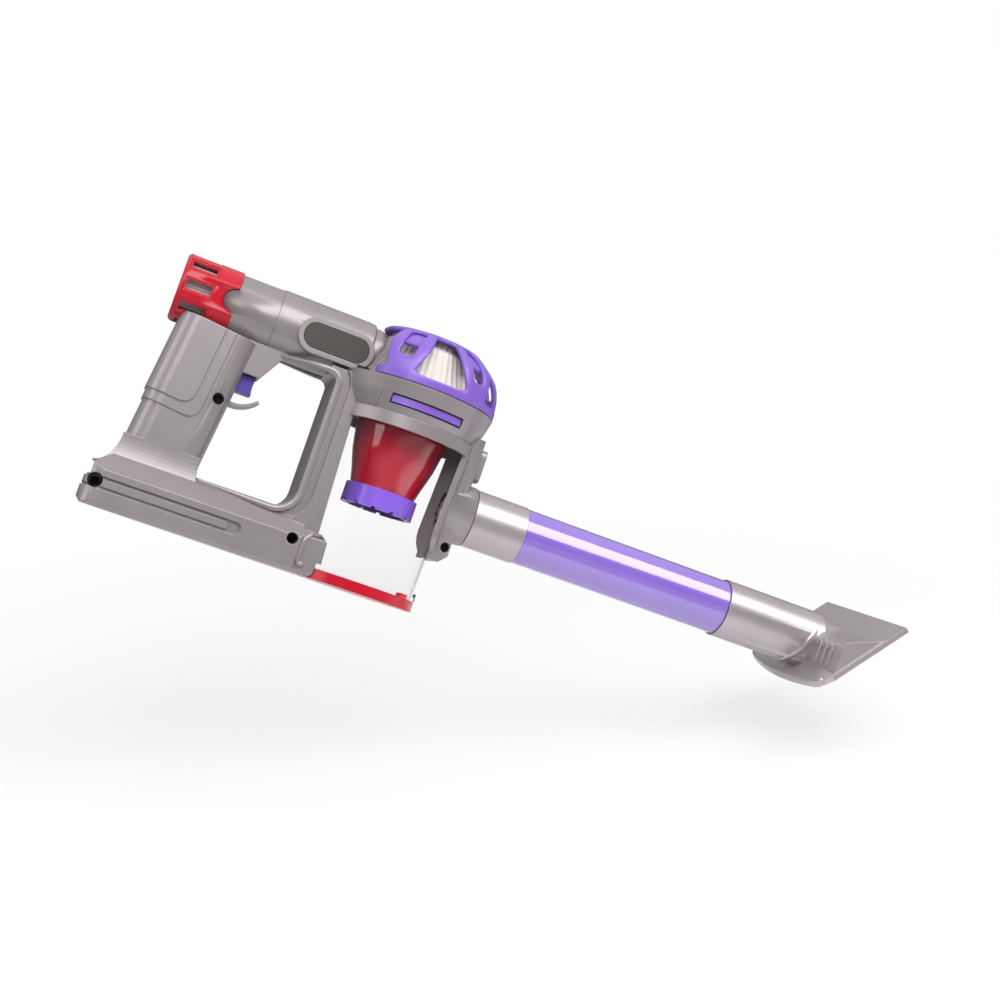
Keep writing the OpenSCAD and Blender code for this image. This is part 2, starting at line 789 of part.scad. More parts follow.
// The hand loop's outline, let out by a margin
function loop_pts(m) = rounded(
    rect(-loop_back - 2 * loop_low_round, base_top_z - m, m - loop_back, loop_top_z + m),
    [0, loop_low_round + m, loop_top_round + m, 0]);

module strut_form() {
    front_x = -bin_top_r * strut_front_share;
    low_z = block_z - overrun;
    top_z = loop_top_z + loop_top_round;
    step_z = base_top_z + loop_low_round + overrun;
    difference() {
        along_y(-strut_half_w, strut_half_w)
            difference() {
                polygon([[-loop_back - loop_low_round, low_z], [front_x, low_z], [front_x, top_z],
                    [-loop_back - loop_top_round, top_z], [-loop_back - loop_top_round, step_z],
                    [-loop_back - loop_low_round, step_z]]);
                polygon(loop_pts(0));
            }
        for (side = [-1, 1])
            translate([0, side * strut_half_w, 0])
                along_y(-channel_d, channel_d)
                    difference() {
                        polygon(loop_pts(channel_edge + channel_w));
                        polygon(loop_pts(channel_edge));
                    }
    }
}

module collar_form() {
    rotate_extrude()
        polygon([[bin_r_at(band_low_z) - bin_wall, band_low_z], [band_r, band_low_z], [band_r, collar_low_z],
            [collar_low_r, collar_low_z], [collar_mid_r, collar_mid_z], [collar_top_r, collar_top_z],
            [shelf_bore_r, collar_top_z], [shelf_bore_r, bin_top_z - overrun],
            [bin_r_at(band_low_z) - bin_wall, bin_top_z - overrun]]);
    panel_half = slot_half_l + slot_h;
    intersection() {
        rotate_extrude()
            polygon([[shelf_bore_r, collar_low_z], [collar_low_r + panel_t, collar_low_z],
                [collar_mid_r + panel_t, collar_mid_z], [collar_top_r, collar_top_z],
                [shelf_bore_r, collar_top_z]]);
        translate([slot_shift - panel_half, -collar_top_r - overrun, collar_low_z])
            cube([2 * panel_half, collar_top_r, collar_top_z - collar_low_z]);
    }
}

module badge_pill(inset, y0, y1) {
    half_l = badge_l / 2 - inset;
    half_h = badge_h / 2 - inset;
    translate([-badge_back, 0, barrel_z - badge_drop])
        along_y(y0, y1)
            polygon(rounded(rect(-half_l, -half_h, half_l, half_h), all_round(2 * half_h * end_share)));
}

module barrel_form() {
    rear_r = barrel_r - barrel_step;
    at_barrel() {
        rod_x(barrel_r, -step_back, -taper_back);
        rod_x(rear_r, barrel_rear_x, -step_back);
        rod_x(cap_in_r - fixed_gap, barrel_rear_x - tongue_r / 2, barrel_rear_x + overrun);
        translate([-taper_back, 0, 0])
            rotate([0, 90, 0])
                cylinder(r1 = barrel_r, r2 = barrel_front_r, h = taper_back - barrel_front_back);
        intersection() {
            rod_x(rear_r, barrel_rear_x - tongue_r, barrel_rear_x + overrun);
            translate([barrel_rear_x, 0, 0])
                rod_y(tongue_r - fixed_gap, -cap_r, cap_r);
        }
    }
    badge_pill(0, -barrel_r - badge_stand, -barrel_r / 2);
}

module web_form() {
    low_z = trigger_z + trigger_h / 2 + slide_gap;
    high_z = barrel_z - bore_r;
    along_y(-web_half_w, web_half_w)
        polygon([[-grip_front_back, low_z], [trigger_front_x - overrun, low_z],
            [trigger_front_x + trigger_h, high_z], [-grip_front_back, high_z]]);
}

module guard_form() {
    outer = arc(guard_r + guard_t, guard_from, guard_to);
    inner = arc(guard_r, guard_to, guard_from);
    translate([guard_x, 0, guard_z])
        along_y(-guard_half_w, guard_half_w)
            polygon(concat(outer, inner));
}

module bracket_form() {
    spine_round = spine_half_w - button_half_w - button_reach;
    difference() {
        translate([0, 0, spine_low_z])
            linear_extrude(spine_top_z - spine_low_z)
                polygon(rounded(rect(bin_foot_r / 2, -spine_half_w, spine_front, spine_half_w),
                    [0, spine_round, spine_round, 0]));
        along_y(-spine_half_w - overrun, spine_half_w + overrun)
            polygon([[spine_front - spine_chamfer, spine_low_z - overrun],
                [spine_front + overrun, spine_low_z - overrun],
                [spine_front + overrun, spine_low_z + spine_chamfer]]);
    }
    intersection() {
        bin_form(fixed_gap + saddle_t, spine_low_z, band_low_z + overrun);
        along_x(bin_foot_r / 2, band_r + saddle_t)
            polygon(rounded(rect(-saddle_half_w, spine_low_z, saddle_half_w, band_low_z + overrun),
                [saddle_round, saddle_round, 0, 0]));
    }
    at_wand() {
        rod_x(socket_r, bin_foot_r, socket_end - socket_bevel);
        translate([socket_end - socket_bevel, 0, 0])
            rotate([0, 90, 0])
                cylinder(r1 = socket_r, r2 = socket_r - socket_bevel, h = socket_bevel);
    }
}

module housing_solid() {
    base_form();
    block_form();
    grip_form();
    strut_form();
    collar_form();
    barrel_form();
    web_form();
    guard_form();
    bracket_form();
}

// The room for the bin, the flap, the cyclone and the filter
module bin_voids() {
    flap_top_z = bin_foot_z + bin_rim_h + slide_gap;
    translate([0, 0, -overrun])
        cylinder(r = flap_r + slide_gap, h = flap_top_z + overrun);
    bin_form(fixed_gap, flap_h, bin_top_z + fixed_gap);
    translate([0, 0, bin_top_z - overrun])
        cylinder(r = shelf_bore_r, h = collar_top_z - bin_top_z);
    translate([0, 0, shelf_top_z])
        cylinder(r = collar_bore_r, h = collar_top_z + overrun - shelf_top_z);
    translate([0, 0, collar_top_z])
        cylinder(r = cage_r - cage_wall, h = filter_flange_t + fixed_gap);
    translate([0, 0, filter_low_z])
        cylinder(r1 = filter_low_r + slide_gap, r2 = filter_top_r + slide_gap, h = filter_top_z - filter_low_z);
    translate([0, 0, filter_top_z - overrun])
        cylinder(r = filter_top_r + slide_gap, h = cage_top_z - filter_top_z);
    translate([slot_shift - slot_half_l, -collar_top_r - panel_t - overrun, slot_low_z])
        cube([2 * slot_half_l, collar_top_r, slot_h]);
}

module flap_voids() {
    tail_gap = tail_half_w + slide_gap;
    slab(pivot_x - knuckle_r - slide_gap, -flap_r / 2, tail_gap, -overrun, 2 * knuckle_r + slide_gap);
    translate([pivot_x, 0, pivot_z])
        rod_y(flap_pin_r, -tail_half_w - 2 * knuckle_r, tail_half_w + 2 * knuckle_r);
}

module trigger_voids() {
    half_w = trigger_w / 2 + slide_gap;
    half_h = trigger_h / 2 + slide_gap;
    slab(flange_x - overrun, trigger_front_x - half_h, half_w, trigger_z - half_h, trigger_z + half_h);
    slab(pocket_rear_x, flange_x + fixed_gap, flange_half_w + slide_gap,
        trigger_z - flange_half_h - slide_gap, trigger_z + flange_half_h + slide_gap);
    slab(pocket_rear_x - switch_l, pocket_rear_x + overrun, switch_w / 2,
        trigger_z, trigger_z + switch_h);
}

module bracket_voids() {
    reach = button_reach + slide_gap;
    lip_x = button_back + button_flange_t + fixed_gap;
    slab(button_floor, lip_x, button_half_w + reach, button_low_z - reach, button_top_z + reach);
    slab(lip_x - overrun, spine_front + overrun, button_half_w + slide_gap,
        button_low_z - slide_gap, button_top_z + slide_gap);
    at_wand() {
        rod_x(plug_r + running_gap, connector_x - plug_l - fixed_gap, socket_end + overrun);
        rod_x(inlet_r, bin_foot_r / 2, socket_end);
    }
}

module power_voids() {
    at_barrel() {
        rod_x(bore_r, barrel_rear_x - 2 * tongue_r, -bore_back);
        rod_x(duct_r, -bore_back - overrun, -barrel_front_back + overrun);
    }
    slab(bay_x, bay_x + bay_l, bay_half_w, -overrun, bay_top_z);
    slab(bay_x - door_ledge, door_front_x, bay_half_w + door_ledge, -overrun, door_t);
    translate([door_screw_x, -bay_half_w / 2, 0])
        cylinder(r = shank_r, h = shank_l);
}

module screw_voids() {
    for (spot = screw_spots)
        translate([spot.x, 0, spot.y]) {
            rod_y(spot.z, -2 * base_half_w, -seat_y);
            rod_y(shank_r, -seat_y - overrun, shank_l - seat_y);
        }
}

module housing() {
    difference() {
        housing_solid();
        bin_voids();
        flap_voids();
        trigger_voids();
        bracket_voids();
        power_voids();
        screw_voids();
        badge_pill(badge_rim, -barrel_r - badge_stand - overrun, -barrel_r - badge_stand + plate_t + fixed_gap);
    }
}

module half_space(y0) {
    translate([base_rear_x - overrun, y0, -overrun])
        cube([base_back + collar_top_r + socket_end, collar_top_r + overrun, barrel_z + 2 * barrel_r]);
}

module shell_right() {
    color("#a39b9f")
        intersection() {
            housing();
            half_space(-collar_top_r - overrun);
        }
}

module shell_left() {
    color("#a39b9f")
        intersection() {
            housing();
            half_space(0);
        }
}

module body_screws() {
    color("#2a2a2c")
        for (spot = screw_spots)
            translate([spot.x, 0, spot.y]) {
                rod_y(head_r, -seat_y - head_t, -seat_y);
                rod_y(shank_r, -seat_y - overrun, shank_l - seat_y - overrun);
            }
}

module vent_cap() {
    ring_steps = [for (i = [0:corner_steps]) 90 * i / corner_steps];
    edge = [for (a = ring_steps) [cap_r - cap_round + cap_round * sin(a), cap_round - cap_round * cos(a)]];
    slot_x = cap_rear_x + cap_slot_in;
    half_w = cap_slot_w / 2;
    color("#c4102c")
        at_barrel()
            difference() {
                translate([cap_rear_x, 0, 0])
                    rotate([0, 90, 0])
                        rotate_extrude()
                            polygon(concat([[0, 0]], edge, [[cap_r, cap_l], [cap_in_r, cap_l], [cap_in_r, cap_wall],
                                [0, cap_wall]]));
                for (i = [0:cap_slot_count - 1])
                    rotate([360 * i / cap_slot_count, 0, 0]) {
                        translate([slot_x, -cap_r - overrun, -half_w])
                            cube([cap_slot_l, cap_wall + 2 * overrun, cap_slot_w]);
                        translate([slot_x - cap_recess_rim, -cap_r - overrun, -half_w - cap_recess_rim])
                            cube([cap_slot_l + 2 * cap_recess_rim, cap_recess_d + overrun,
                                cap_slot_w + 2 * cap_recess_rim]);
                    }
                translate([barrel_rear_x, 0, 0])
                    rod_y(tongue_r, -cap_r - overrun, cap_r + overrun);
            }
}

module vent_core() {
    from_x = cap_rear_x + cap_wall;
    color("#8f898c")
        at_barrel()
            difference() {
                translate([from_x, 0, 0])
                    rotate([0, 90, 0])
                        linear_extrude(barrel_rear_x + core_in - from_x)
                            polygon(star(core_r, core_rib_d, core_rib_count));
                rod_x(core_r - core_wall, from_x - overrun, barrel_rear_x + core_in + overrun);
            }
}

module badge_plate() {
    color("#45413c")
        badge_pill(badge_rim + fixed_gap / 2, -barrel_r - badge_stand + fixed_gap,
            -barrel_r - badge_stand + fixed_gap + plate_t);
}

module trigger() {
    half_w = trigger_w / 2;
    half_h = trigger_h / 2;
    dish_r = 2 * trigger_h;
    color("#4b33a8") {
        difference() {
            slab(flange_x - overrun, trigger_front_x, half_w, trigger_z - half_h, trigger_z + half_h);
            translate([trigger_front_x + dish_r - half_h / 2, 0, trigger_z])
                rod_y(dish_r, -trigger_w, trigger_w);
        }
        slab(flange_x - flange_t, flange_x, flange_half_w, trigger_z - flange_half_h, trigger_z + flange_half_h);
    }
}

module trigger_spring() {
    low_z = trigger_z - flange_half_h;
    mid_z = trigger_z - flange_half_h / 2;
    leaf = spring_t / 3;
    color("#b9b9b6")
        along_y(-switch_w / 2, switch_w / 2)
            polygon([[pocket_rear_x, low_z], [pocket_rear_x + spring_t, mid_z], [pocket_rear_x, trigger_z],
                [pocket_rear_x, trigger_z - leaf], [pocket_rear_x + spring_t - leaf, mid_z],
                [pocket_rear_x, low_z + leaf]]);
}

module trigger_switch() {
    half_w = switch_w / 2;
    color("#26262a") {
        slab(pocket_rear_x - switch_l, pocket_rear_x, half_w, trigger_z, trigger_z + switch_h);
        slab(pocket_rear_x - overrun, pocket_rear_x + spring_t, half_w / 2,
            trigger_z + switch_h / 4, trigger_z + 3 * switch_h / 4);
    }
}

module motor() {
    color("#9a9a98")
        at_barrel() {
            rod_x(motor_r, motor_x, motor_x + motor_l);
            rod_x(shaft_r, fan_x, motor_x + overrun);
        }
}

module motor_mount() {
    mount_r = bore_r;
    color("#56545a")
        at_barrel()
            difference() {
                rod_x(mount_r, motor_x + motor_l / 2, -bore_back);
                rod_x(motor_r, motor_x, motor_x + motor_l);
                rod_x(duct_r, motor_x + motor_l - overrun, -bore_back + overrun);
            }
}

module fan_impeller() {
    from_x = fan_x + overrun;
    color("#d8d4cc")
        at_barrel()
            difference() {
                union() {
                    rod_x(hub_r, from_x, from_x + fan_l);
                    rod_x(fan_r, from_x + fan_l - blade_t, from_x + fan_l);
                    for (i = [0:blade_count - 1])
                        rotate([360 * i / blade_count, 0, 0])
                            translate([from_x, -blade_t / 2, hub_r - overrun])
                                cube([fan_l - overrun, blade_t, fan_r - hub_r]);
                }
                rod_x(shaft_r + running_gap, from_x - overrun, from_x + fan_l + overrun);
            }
}

module cage() {
    dome_h = cage_top_z - lip_top_z;
    foot_z = lip_top_z + window_rise;
    head_z = cage_top_z - window_drop;
    dome = [for (i = [0:len(dome_r_shares) - 1])
        [cage_r * dome_r_shares[i], lip_top_z + dome_h * dome_z_shares[i]]];
    inner = [for (i = [len(dome_r_shares) - 1:-1:0])
        [(cage_r - cage_wall) * dome_r_shares[i], lip_top_z - cage_wall + dome_h * dome_z_shares[i]]];
    color("#8d6fe8")
        difference() {
            rotate_extrude()
                polygon(concat([[cage_r - cage_wall, cage_low_z], [cage_r, cage_low_z], [cage_r, lip_top_z]],
                    dome, [[0, cage_top_z], [0, cage_top_z - cage_wall]], inner));
            translate([-2 * cage_r, -cage_r - overrun, cage_low_z - overrun])
                cube([2 * cage_r - cage_back, 2 * cage_r + 2 * overrun, cage_top_z]);
            for (i = [0:window_count - 1]) {
                rotate([0, 0, window_turn - 90 + 360 * i / window_count])
                    along_x(grille_r - pleat_d, cage_r + overrun)
                        polygon([[-window_low_half, foot_z], [window_low_half, foot_z],
                            [window_top_half, head_z], [-window_top_half, head_z]]);
                rotate([0, 0, window_turn - 90 + 180 / window_count + 360 * i / window_count])
                    along_x(grille_r - pleat_d, cage_r + overrun)
                        polygon(rounded(
                            rect(-vent_slot_half, lip_top_z + vent_slot_rise, vent_slot_half, head_z),
                            all_round(2 * vent_slot_half * end_share)));
            }
        }
}

module cage_clip() {
    back_r = collar_bore_r - fixed_gap;
    bar_r = collar_mid_r - panel_t;
    bar_half = slot_half_l - slot_gap;
    color("#8d6fe8") {
        intersection() {
            translate([0, 0, slot_low_z + slot_gap])
                difference() {
                    cylinder(r = bar_r, h = slot_h - 2 * slot_gap);
                    translate([0, 0, -overrun])
                        cylinder(r = back_r - bin_wall, h = slot_h);
                }
            translate([slot_shift - bar_half, -collar_top_r, slot_low_z])
                cube([2 * bar_half, collar_top_r, slot_h]);
        }
        intersection() {
            translate([0, 0, shelf_top_z])
                difference() {
                    cylinder(r = back_r, h = slot_low_z + slot_h - shelf_top_z);
                    translate([0, 0, -overrun])
                        cylinder(r = back_r - bin_wall, h = slot_low_z + slot_h);
                }
            translate([slot_shift - slot_half_l - slot_gap, -collar_top_r, shelf_top_z])
                cube([2 * slot_half_l + 2 * slot_gap, collar_top_r, slot_low_z + slot_h - shelf_top_z]);
        }
    }
}

module filter_cone() {
    in_low_r = filter_low_r - filter_wall;
    in_top_r = filter_top_r - filter_wall;
    color("#ece6d4")
        difference() {
            union() {
                translate([0, 0, collar_top_z])
                    cylinder(r = cage_r - cage_wall - fixed_gap, h = filter_flange_t);
                translate([0, 0, filter_low_z - overrun])
                    linear_extrude(filter_top_z - filter_low_z + overrun, scale = filter_top_r / filter_low_r)
                        polygon(star(filter_low_r, pleat_d, pleat_count));
            }
            translate([0, 0, collar_top_z - overrun])
                cylinder(r1 = in_low_r, r2 = in_top_r, h = filter_top_z - collar_top_z + 2 * overrun);
            translate([-2 * cage_r, -cage_r, collar_top_z - overrun])
                cube([2 * cage_r - cage_back - slide_gap, 2 * cage_r, filter_flange_t + 2 * overrun]);
        }
}

module filter_grille() {
    color("#9d9a98")
        translate([0, 0, filter_top_z])
            difference() {
                union() {
                    linear_extrude(cage_top_z - cage_wall - filter_top_z - fixed_gap)
                        polygon(star(grille_r, pleat_d, grille_ribs));
                    cylinder(r = filter_top_r - pleat_d, h = pleat_d);
                }
                translate([0, 0, -overrun])
                    cylinder(r = grille_r - filter_wall - pleat_d, h = cage_top_z - filter_top_z);
            }
}

module dust_bin() {
    rim_r = flap_r - slide_gap;
    color([0.9, 0.92, 0.94, 0.35])
        difference() {
            union() {
                bin_form(0, bin_foot_z, bin_top_z);
                translate([0, 0, bin_foot_z])
                    cylinder(r = rim_r, h = bin_rim_h);
                slab(bin_foot_r - bin_wall, flap_r, catch_w / 2, bin_foot_z, bin_foot_z + catch_h);
            }
            bin_form(-bin_wall, bin_foot_z - overrun, bin_top_z + overrun);
            at_wand()
                rod_x(inlet_r, bin_foot_r / 2, bin_top_r + overrun);
        }
}

module cyclone_bell() {
    outer = [for (i = [0:len(bell_r_shares) - 1])
        [bell_top_r * bell_r_shares[i], bell_low_z + bell_h * bell_z_shares[i]]];
    inner = [for (i = [len(bell_r_shares) - 1:-1:0]) outer[i] - [bell_wall, 0]];
    plug_r0 = bell_low_r - bell_wall;
    color("#c4102c")
        rotate_extrude()
            polygon(concat([[bell_flange_r, shelf_top_z + bell_wall], [bell_flange_r, shelf_top_z]], outer,
                [[bell_low_r, bell_low_z], [plug_r0, bell_low_z], [plug_r0, bell_low_z - ring_grip],
                [plug_r0 - bell_wall, bell_low_z - ring_grip], [plug_r0 - bell_wall, bell_low_z]], inner,
                [[bell_top_r - bell_wall, shelf_top_z + bell_wall]]));
}

module cyclone_ring() {
    color("#7a58dc")
        translate([0, 0, ring_low_z])
            difference() {
                cylinder(r = ring_r, h = ring_h);
                translate([0, 0, -overrun])
                    cylinder(r = bell_low_r - bell_wall, h = ring_h + 2 * overrun);
                for (i = [0:notch_count - 1])
                    rotate([0, 0, 360 * (i + 1 / 2) / notch_count])
                        translate([0, -notch_w / 2, -overrun])
                            cube([ring_r + overrun, notch_w, notch_h + overrun]);
            }
}

module bin_flap() {
    nub_r = bin_foot_r - bin_wall - 2 * slide_gap;
    color("#d81f33")
        difference() {
            union() {
                cylinder(r = flap_r, h = flap_plate);
                difference() {
                    cylinder(r = flap_r, h = flap_h);
                    translate([0, 0, flap_plate])
                        cylinder(r = flap_r - flap_rim, h = flap_h);
                }
                intersection() {
                    difference() {
                        cylinder(r = nub_r, h = flap_h + nub_h);
                        translate([0, 0, flap_plate])
                            cylinder(r = nub_r - flap_rim, h = flap_h + nub_h);
                    }
                    slab(0, flap_r, nub_half_w, 0, flap_h + nub_h);
                }
                slab(pivot_x, -flap_r / 2, tail_half_w, 0, flap_plate);
                translate([pivot_x, 0, pivot_z])
                    rod_y(knuckle_r, -tail_half_w, tail_half_w);
            }
            translate([pivot_x, 0, pivot_z])
                rod_y(flap_pin_r + running_gap, -tail_half_w - overrun, tail_half_w + overrun);
        }
}

module flap_pin() {
    half_l = tail_half_w + 2 * knuckle_r - fixed_gap;
    color("#b9b9b6")
        translate([pivot_x, 0, pivot_z])
            rod_y(flap_pin_r, -half_l, half_l);
}

module release_button() {
    button_round = button_half_w / 2;
    half_w = button_half_w + button_reach;
    color("#8d8589") {
        along_x(button_back, button_front)
            polygon(rounded(rect(-button_half_w, button_low_z, button_half_w, button_top_z),
                all_round(button_round)));
        slab(button_back, button_back + button_flange_t, half_w,
            button_low_z - button_reach, button_top_z + button_reach);
    }
}

module button_spring() {
    mid_z = (button_low_z + button_top_z) / 2;
    color("#b9b9b6")
        slab(button_floor, button_floor + button_spring_t, button_half_w / 2,
            mid_z - button_half_w, mid_z + button_half_w);
}

module wand_connector() {
    color("#a8a1a4")
        at_wand()
            difference() {
                union() {
                    rod_x(plug_r, connector_x - plug_l, connector_x + overrun);
                    rod_x(connector_r, connector_x, tube_x);
                    rod_x(tube_in_r, tube_x - overrun, tube_x + spigot_l);
                }
                rod_x(wand_bore_r, connector_x - plug_l - overrun, tube_x + spigot_l + overrun);
            }
}

module wand_tube() {
    color("#9877e0")
        at_wand()
            difference() {
                rod_x(tube_r, tube_x, neck_x);
                rod_x(tube_in_r, tube_x - overrun, neck_x + overrun);
            }
}

// The nozzle's mouth plane: X from heel to toe, Z into the wedge
module at_mouth() {
    translate([heel_x, 0, heel_z])
        rotate([0, -mouth_slope, 0])
            children();
}

function heel_pt(y) = let (in = mouth_half_w - heel_round, past = max(abs(y) - in, 0))
    [heel_round - sqrt(pow(heel_round, 2) - pow(past, 2)) - heel_bow * (1 - pow(y / mouth_half_w, 2)), y];

module wedge_profile() {
    roof_z = wand_z + wedge_rise;
    polygon(rounded([[wedge_x, heel_z], [wedge_x + roof_l, heel_z], [wedge_x + roof_l, roof_z + roof_rise],
        [wedge_x, roof_z]], [0, 0, 0, wedge_round]));
}

module nozzle_outside() {
    half_w = mouth_half_w - lip_in;
    rib_top_z = wand_z + wedge_rise - wedge_round;
    at_wand() {
        rod_x(neck_r, neck_x + connector_gap, wedge_x + wedge_round);
        rod_x(tube_in_r - running_gap, neck_x - spigot_l, neck_x + spigot_l);
    }
    intersection() {
        union() {
            along_y(-half_w, half_w)
                wedge_profile();
            at_wand()
                translate([wedge_x, 0, 0])
                    rotate([0, 90, 0])
                        cylinder(r1 = neck_r, r2 = neck_r * blend_share, h = roof_l);
        }
        at_mouth()
            translate([-mouth_l, -mouth_half_w, 0])
                cube([3 * mouth_l, 2 * mouth_half_w, 2 * mouth_l]);
    }
    at_mouth()
        linear_extrude(lip_t)
            polygon(concat([[mouth_l, mouth_half_w], [mouth_l, -mouth_half_w]],
                [for (i = [-2 * corner_steps:2 * corner_steps]) heel_pt(mouth_half_w * i / (2 * corner_steps))]));
    for (side = [-1, 1])
        for (i = [0:rib_count - 1])
            translate([wedge_x - rib_stand, side * (neck_r + rib_pitch * (i + 1)) - rib_w / 2, rib_top_z - rib_h])
                cube([rib_stand + overrun, rib_w, rib_h]);
}

module nozzle() {
    half_w = mouth_half_w - lip_in - wedge_wall;
    color("#9a9296")
        at_wand()
            rotate([nozzle_turn, 0, 0])
                translate([0, 0, -wand_z])
                    difference() {
                        nozzle_outside();
                        along_y(-half_w, half_w)
                            offset(delta = -wedge_wall)
                                wedge_profile();
                        at_wand()
                            rod_x(nozzle_bore_r, neck_x - spigot_l - overrun, wedge_x + 2 * wedge_wall);
                    }
}

module battery_door() {
    half_w = bay_half_w + door_ledge - fixed_gap;
    color("#968e92")
        difference() {
            slab(bay_x - door_ledge + fixed_gap, door_front_x - fixed_gap, half_w, 0, door_t);
            translate([door_screw_x, -bay_half_w / 2, -overrun])
                cylinder(r = shank_r, h = door_t + 2 * overrun);
            translate([door_screw_x, -bay_half_w / 2, -overrun])
                cylinder(r = head_r + fixed_gap / 2, h = head_t / 2 + overrun);
        }
}

module door_screw() {
    color("#2a2a2c")
        translate([door_screw_x, -bay_half_w / 2, 0]) {
            cylinder(r = head_r, h = head_t / 2);
            cylinder(r = shank_r, h = shank_l - overrun);
        }
}

module battery_cells() {
    color("#5d6a70")
        for (side = [-1, 1])
            translate([0, side * (cell_r + slide_gap / 4), cell_z]) {
                rod_x(cell_r, cell_x, cell_x + cell_l);
                rod_x(cell_nub_r, cell_x + cell_l - overrun, cell_x + cell_l + cell_nub_l);
            }
}

module battery_contacts() {
    half_w = bay_half_w - 2 * slide_gap;
    color("#c2bfb4")
        for (x = [bay_x, bay_x + bay_l - contact_t])
            slab(x, x + contact_t, half_w, door_t + slide_gap, bay_top_z - slide_gap);
}

shell_right();
shell_left();
body_screws();
vent_cap();
vent_core();
badge_plate();
trigger();
trigger_spring();
trigger_switch();
motor();
motor_mount();
fan_impeller();
cage();
cage_clip();
filter_cone();
filter_grille();
dust_bin();
cyclone_bell();
cyclone_ring();
bin_flap();
flap_pin();
release_button();
button_spring();
wand_connector();
wand_tube();
nozzle();
battery_door();
door_screw();
battery_cells();
battery_contacts();
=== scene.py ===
import math

import bpy
import numpy as np
from mathutils import Matrix, Vector


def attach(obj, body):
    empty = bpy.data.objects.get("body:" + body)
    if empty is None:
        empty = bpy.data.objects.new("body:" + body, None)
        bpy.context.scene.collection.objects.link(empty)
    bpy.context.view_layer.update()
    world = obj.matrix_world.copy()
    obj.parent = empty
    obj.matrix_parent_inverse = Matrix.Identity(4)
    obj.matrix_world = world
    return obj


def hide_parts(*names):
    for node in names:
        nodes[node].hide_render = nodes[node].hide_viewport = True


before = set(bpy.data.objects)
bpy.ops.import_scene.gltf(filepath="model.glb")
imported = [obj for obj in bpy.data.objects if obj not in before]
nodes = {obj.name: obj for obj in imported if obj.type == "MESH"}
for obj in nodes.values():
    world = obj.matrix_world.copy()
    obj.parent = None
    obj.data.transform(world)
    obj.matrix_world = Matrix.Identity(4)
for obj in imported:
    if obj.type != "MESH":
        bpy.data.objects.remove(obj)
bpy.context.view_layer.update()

scene = bpy.context.scene
mm = 0.001
print("frame loaded with", len(nodes), "nodes")


def linearColour(code):  # sRGB hex to the linear RGBA that a shader takes
    parts = [int(code[i:i + 2], 16) / 255 for i in (1, 3, 5)]
    return tuple(c / 12.92 if c <= 0.04045 else ((c + 0.055) / 1.055) ** 2.4 for c in parts) + (1.0,)


def addNode(tree, kind, settings=None, links=None):  # links are {socket: (node, output)}
    node = tree.nodes.new(kind)
    for key, value in (settings or {}).items():
        if isinstance(key, str) and hasattr(node, key):
            setattr(node, key, value)
        else:
            node.inputs[key].default_value = value
    for key, (source, output) in (links or {}).items():
        tree.links.new(source.outputs[output], node.inputs[key])
    return node


def newTree(name):
    made = bpy.data.materials.new(name)
    made.use_nodes = True
    made.node_tree.nodes.clear()
    return made, made.node_tree


def turnOf(x, y, z):  # turn whose columns are three square axes
    return Matrix((x, y, z)).transposed().to_4x4()


# Camera: object held in the air, seen from its right side and a little from below
view = {"target": (56.42, 0.0, 66.0), "place": (-121.5, -724.36, -12.39), "roll": 18.477, "lens": 55.34,
        "sensor": 36.0, "clip": (0.01, 20.0)}
aim, eye = Vector(view["target"]) * mm, Vector(view["place"]) * mm
ahead = (aim - eye).normalized()
level = ahead.cross(Vector((0, 0, 1))).normalized()
upright = level.cross(ahead)
tilt = math.radians(view["roll"])
sideways = level * math.cos(tilt) + upright * math.sin(tilt)
overhead = upright * math.cos(tilt) - level * math.sin(tilt)
camera = bpy.data.objects.new("photo_camera", bpy.data.cameras.new("photo_camera"))
camera.data.sensor_width = view["sensor"]
camera.data.lens = view["lens"]
camera.data.clip_start, camera.data.clip_end = view["clip"]
camera.matrix_world = Matrix.Translation(eye) @ turnOf(sideways, overhead, -ahead)
scene.collection.objects.link(camera)
scene.camera = camera
print("camera set")

# Soft studio light: a wide box above the camera and a low fill from the left, placed right, up and back of the aim
lamps = {
    "top_softbox": {"place": (0.38, 0.56, 0.60), "size": (1.5, 0.6), "watts": 10.5},
    "left_fill": {"place": (-0.75, 0.40, 0.45), "size": (0.6, 0.6), "watts": 1.6},
}
for name, lamp in lamps.items():
    data = bpy.data.lights.new(name, "AREA")
    data.shape = "RECTANGLE"
    data.size, data.size_y = lamp["size"]
    data.energy = lamp["watts"]
    right, up, back = lamp["place"]
    spot = aim + sideways * right + overhead * up - ahead * back
    away = (spot - aim).normalized()
    across = overhead.cross(away).normalized()
    bulb = bpy.data.objects.new(name, data)
    bulb.matrix_world = Matrix.Translation(spot) @ turnOf(across, away.cross(across), away)
    scene.collection.objects.link(bulb)

# White room: the camera and the clear bin see white, the rest sees its floor, dim walls and ceiling.
# A step is a share of the way from floor to ceiling and its grey
room = {"steps": [(0.0, 0.32), (0.40, 0.42), (0.49, 0.12), (0.60, 0.13), (0.78, 0.50), (1.0, 0.85)],
        "oneBounce": 0.5}
world = bpy.data.worlds.new("white_room")
world.use_nodes = True
scene.world = world
tree = world.node_tree
tree.nodes.clear()
place = addNode(tree, "ShaderNodeTexCoord")
rise = addNode(tree, "ShaderNodeVectorMath", {"operation": "DOT_PRODUCT", 1: tuple(overhead)},
               {0: (place, "Generated")})
share = addNode(tree, "ShaderNodeMapRange", {"From Min": -1.0, "From Max": 1.0}, {"Value": (rise, "Value")})
shade = addNode(tree, "ShaderNodeValToRGB", None, {0: (share, 0)})
ramp = shade.color_ramp
for at, grey in room["steps"][1:-1]:  # a new ramp has its two ends
    ramp.elements.new(at)
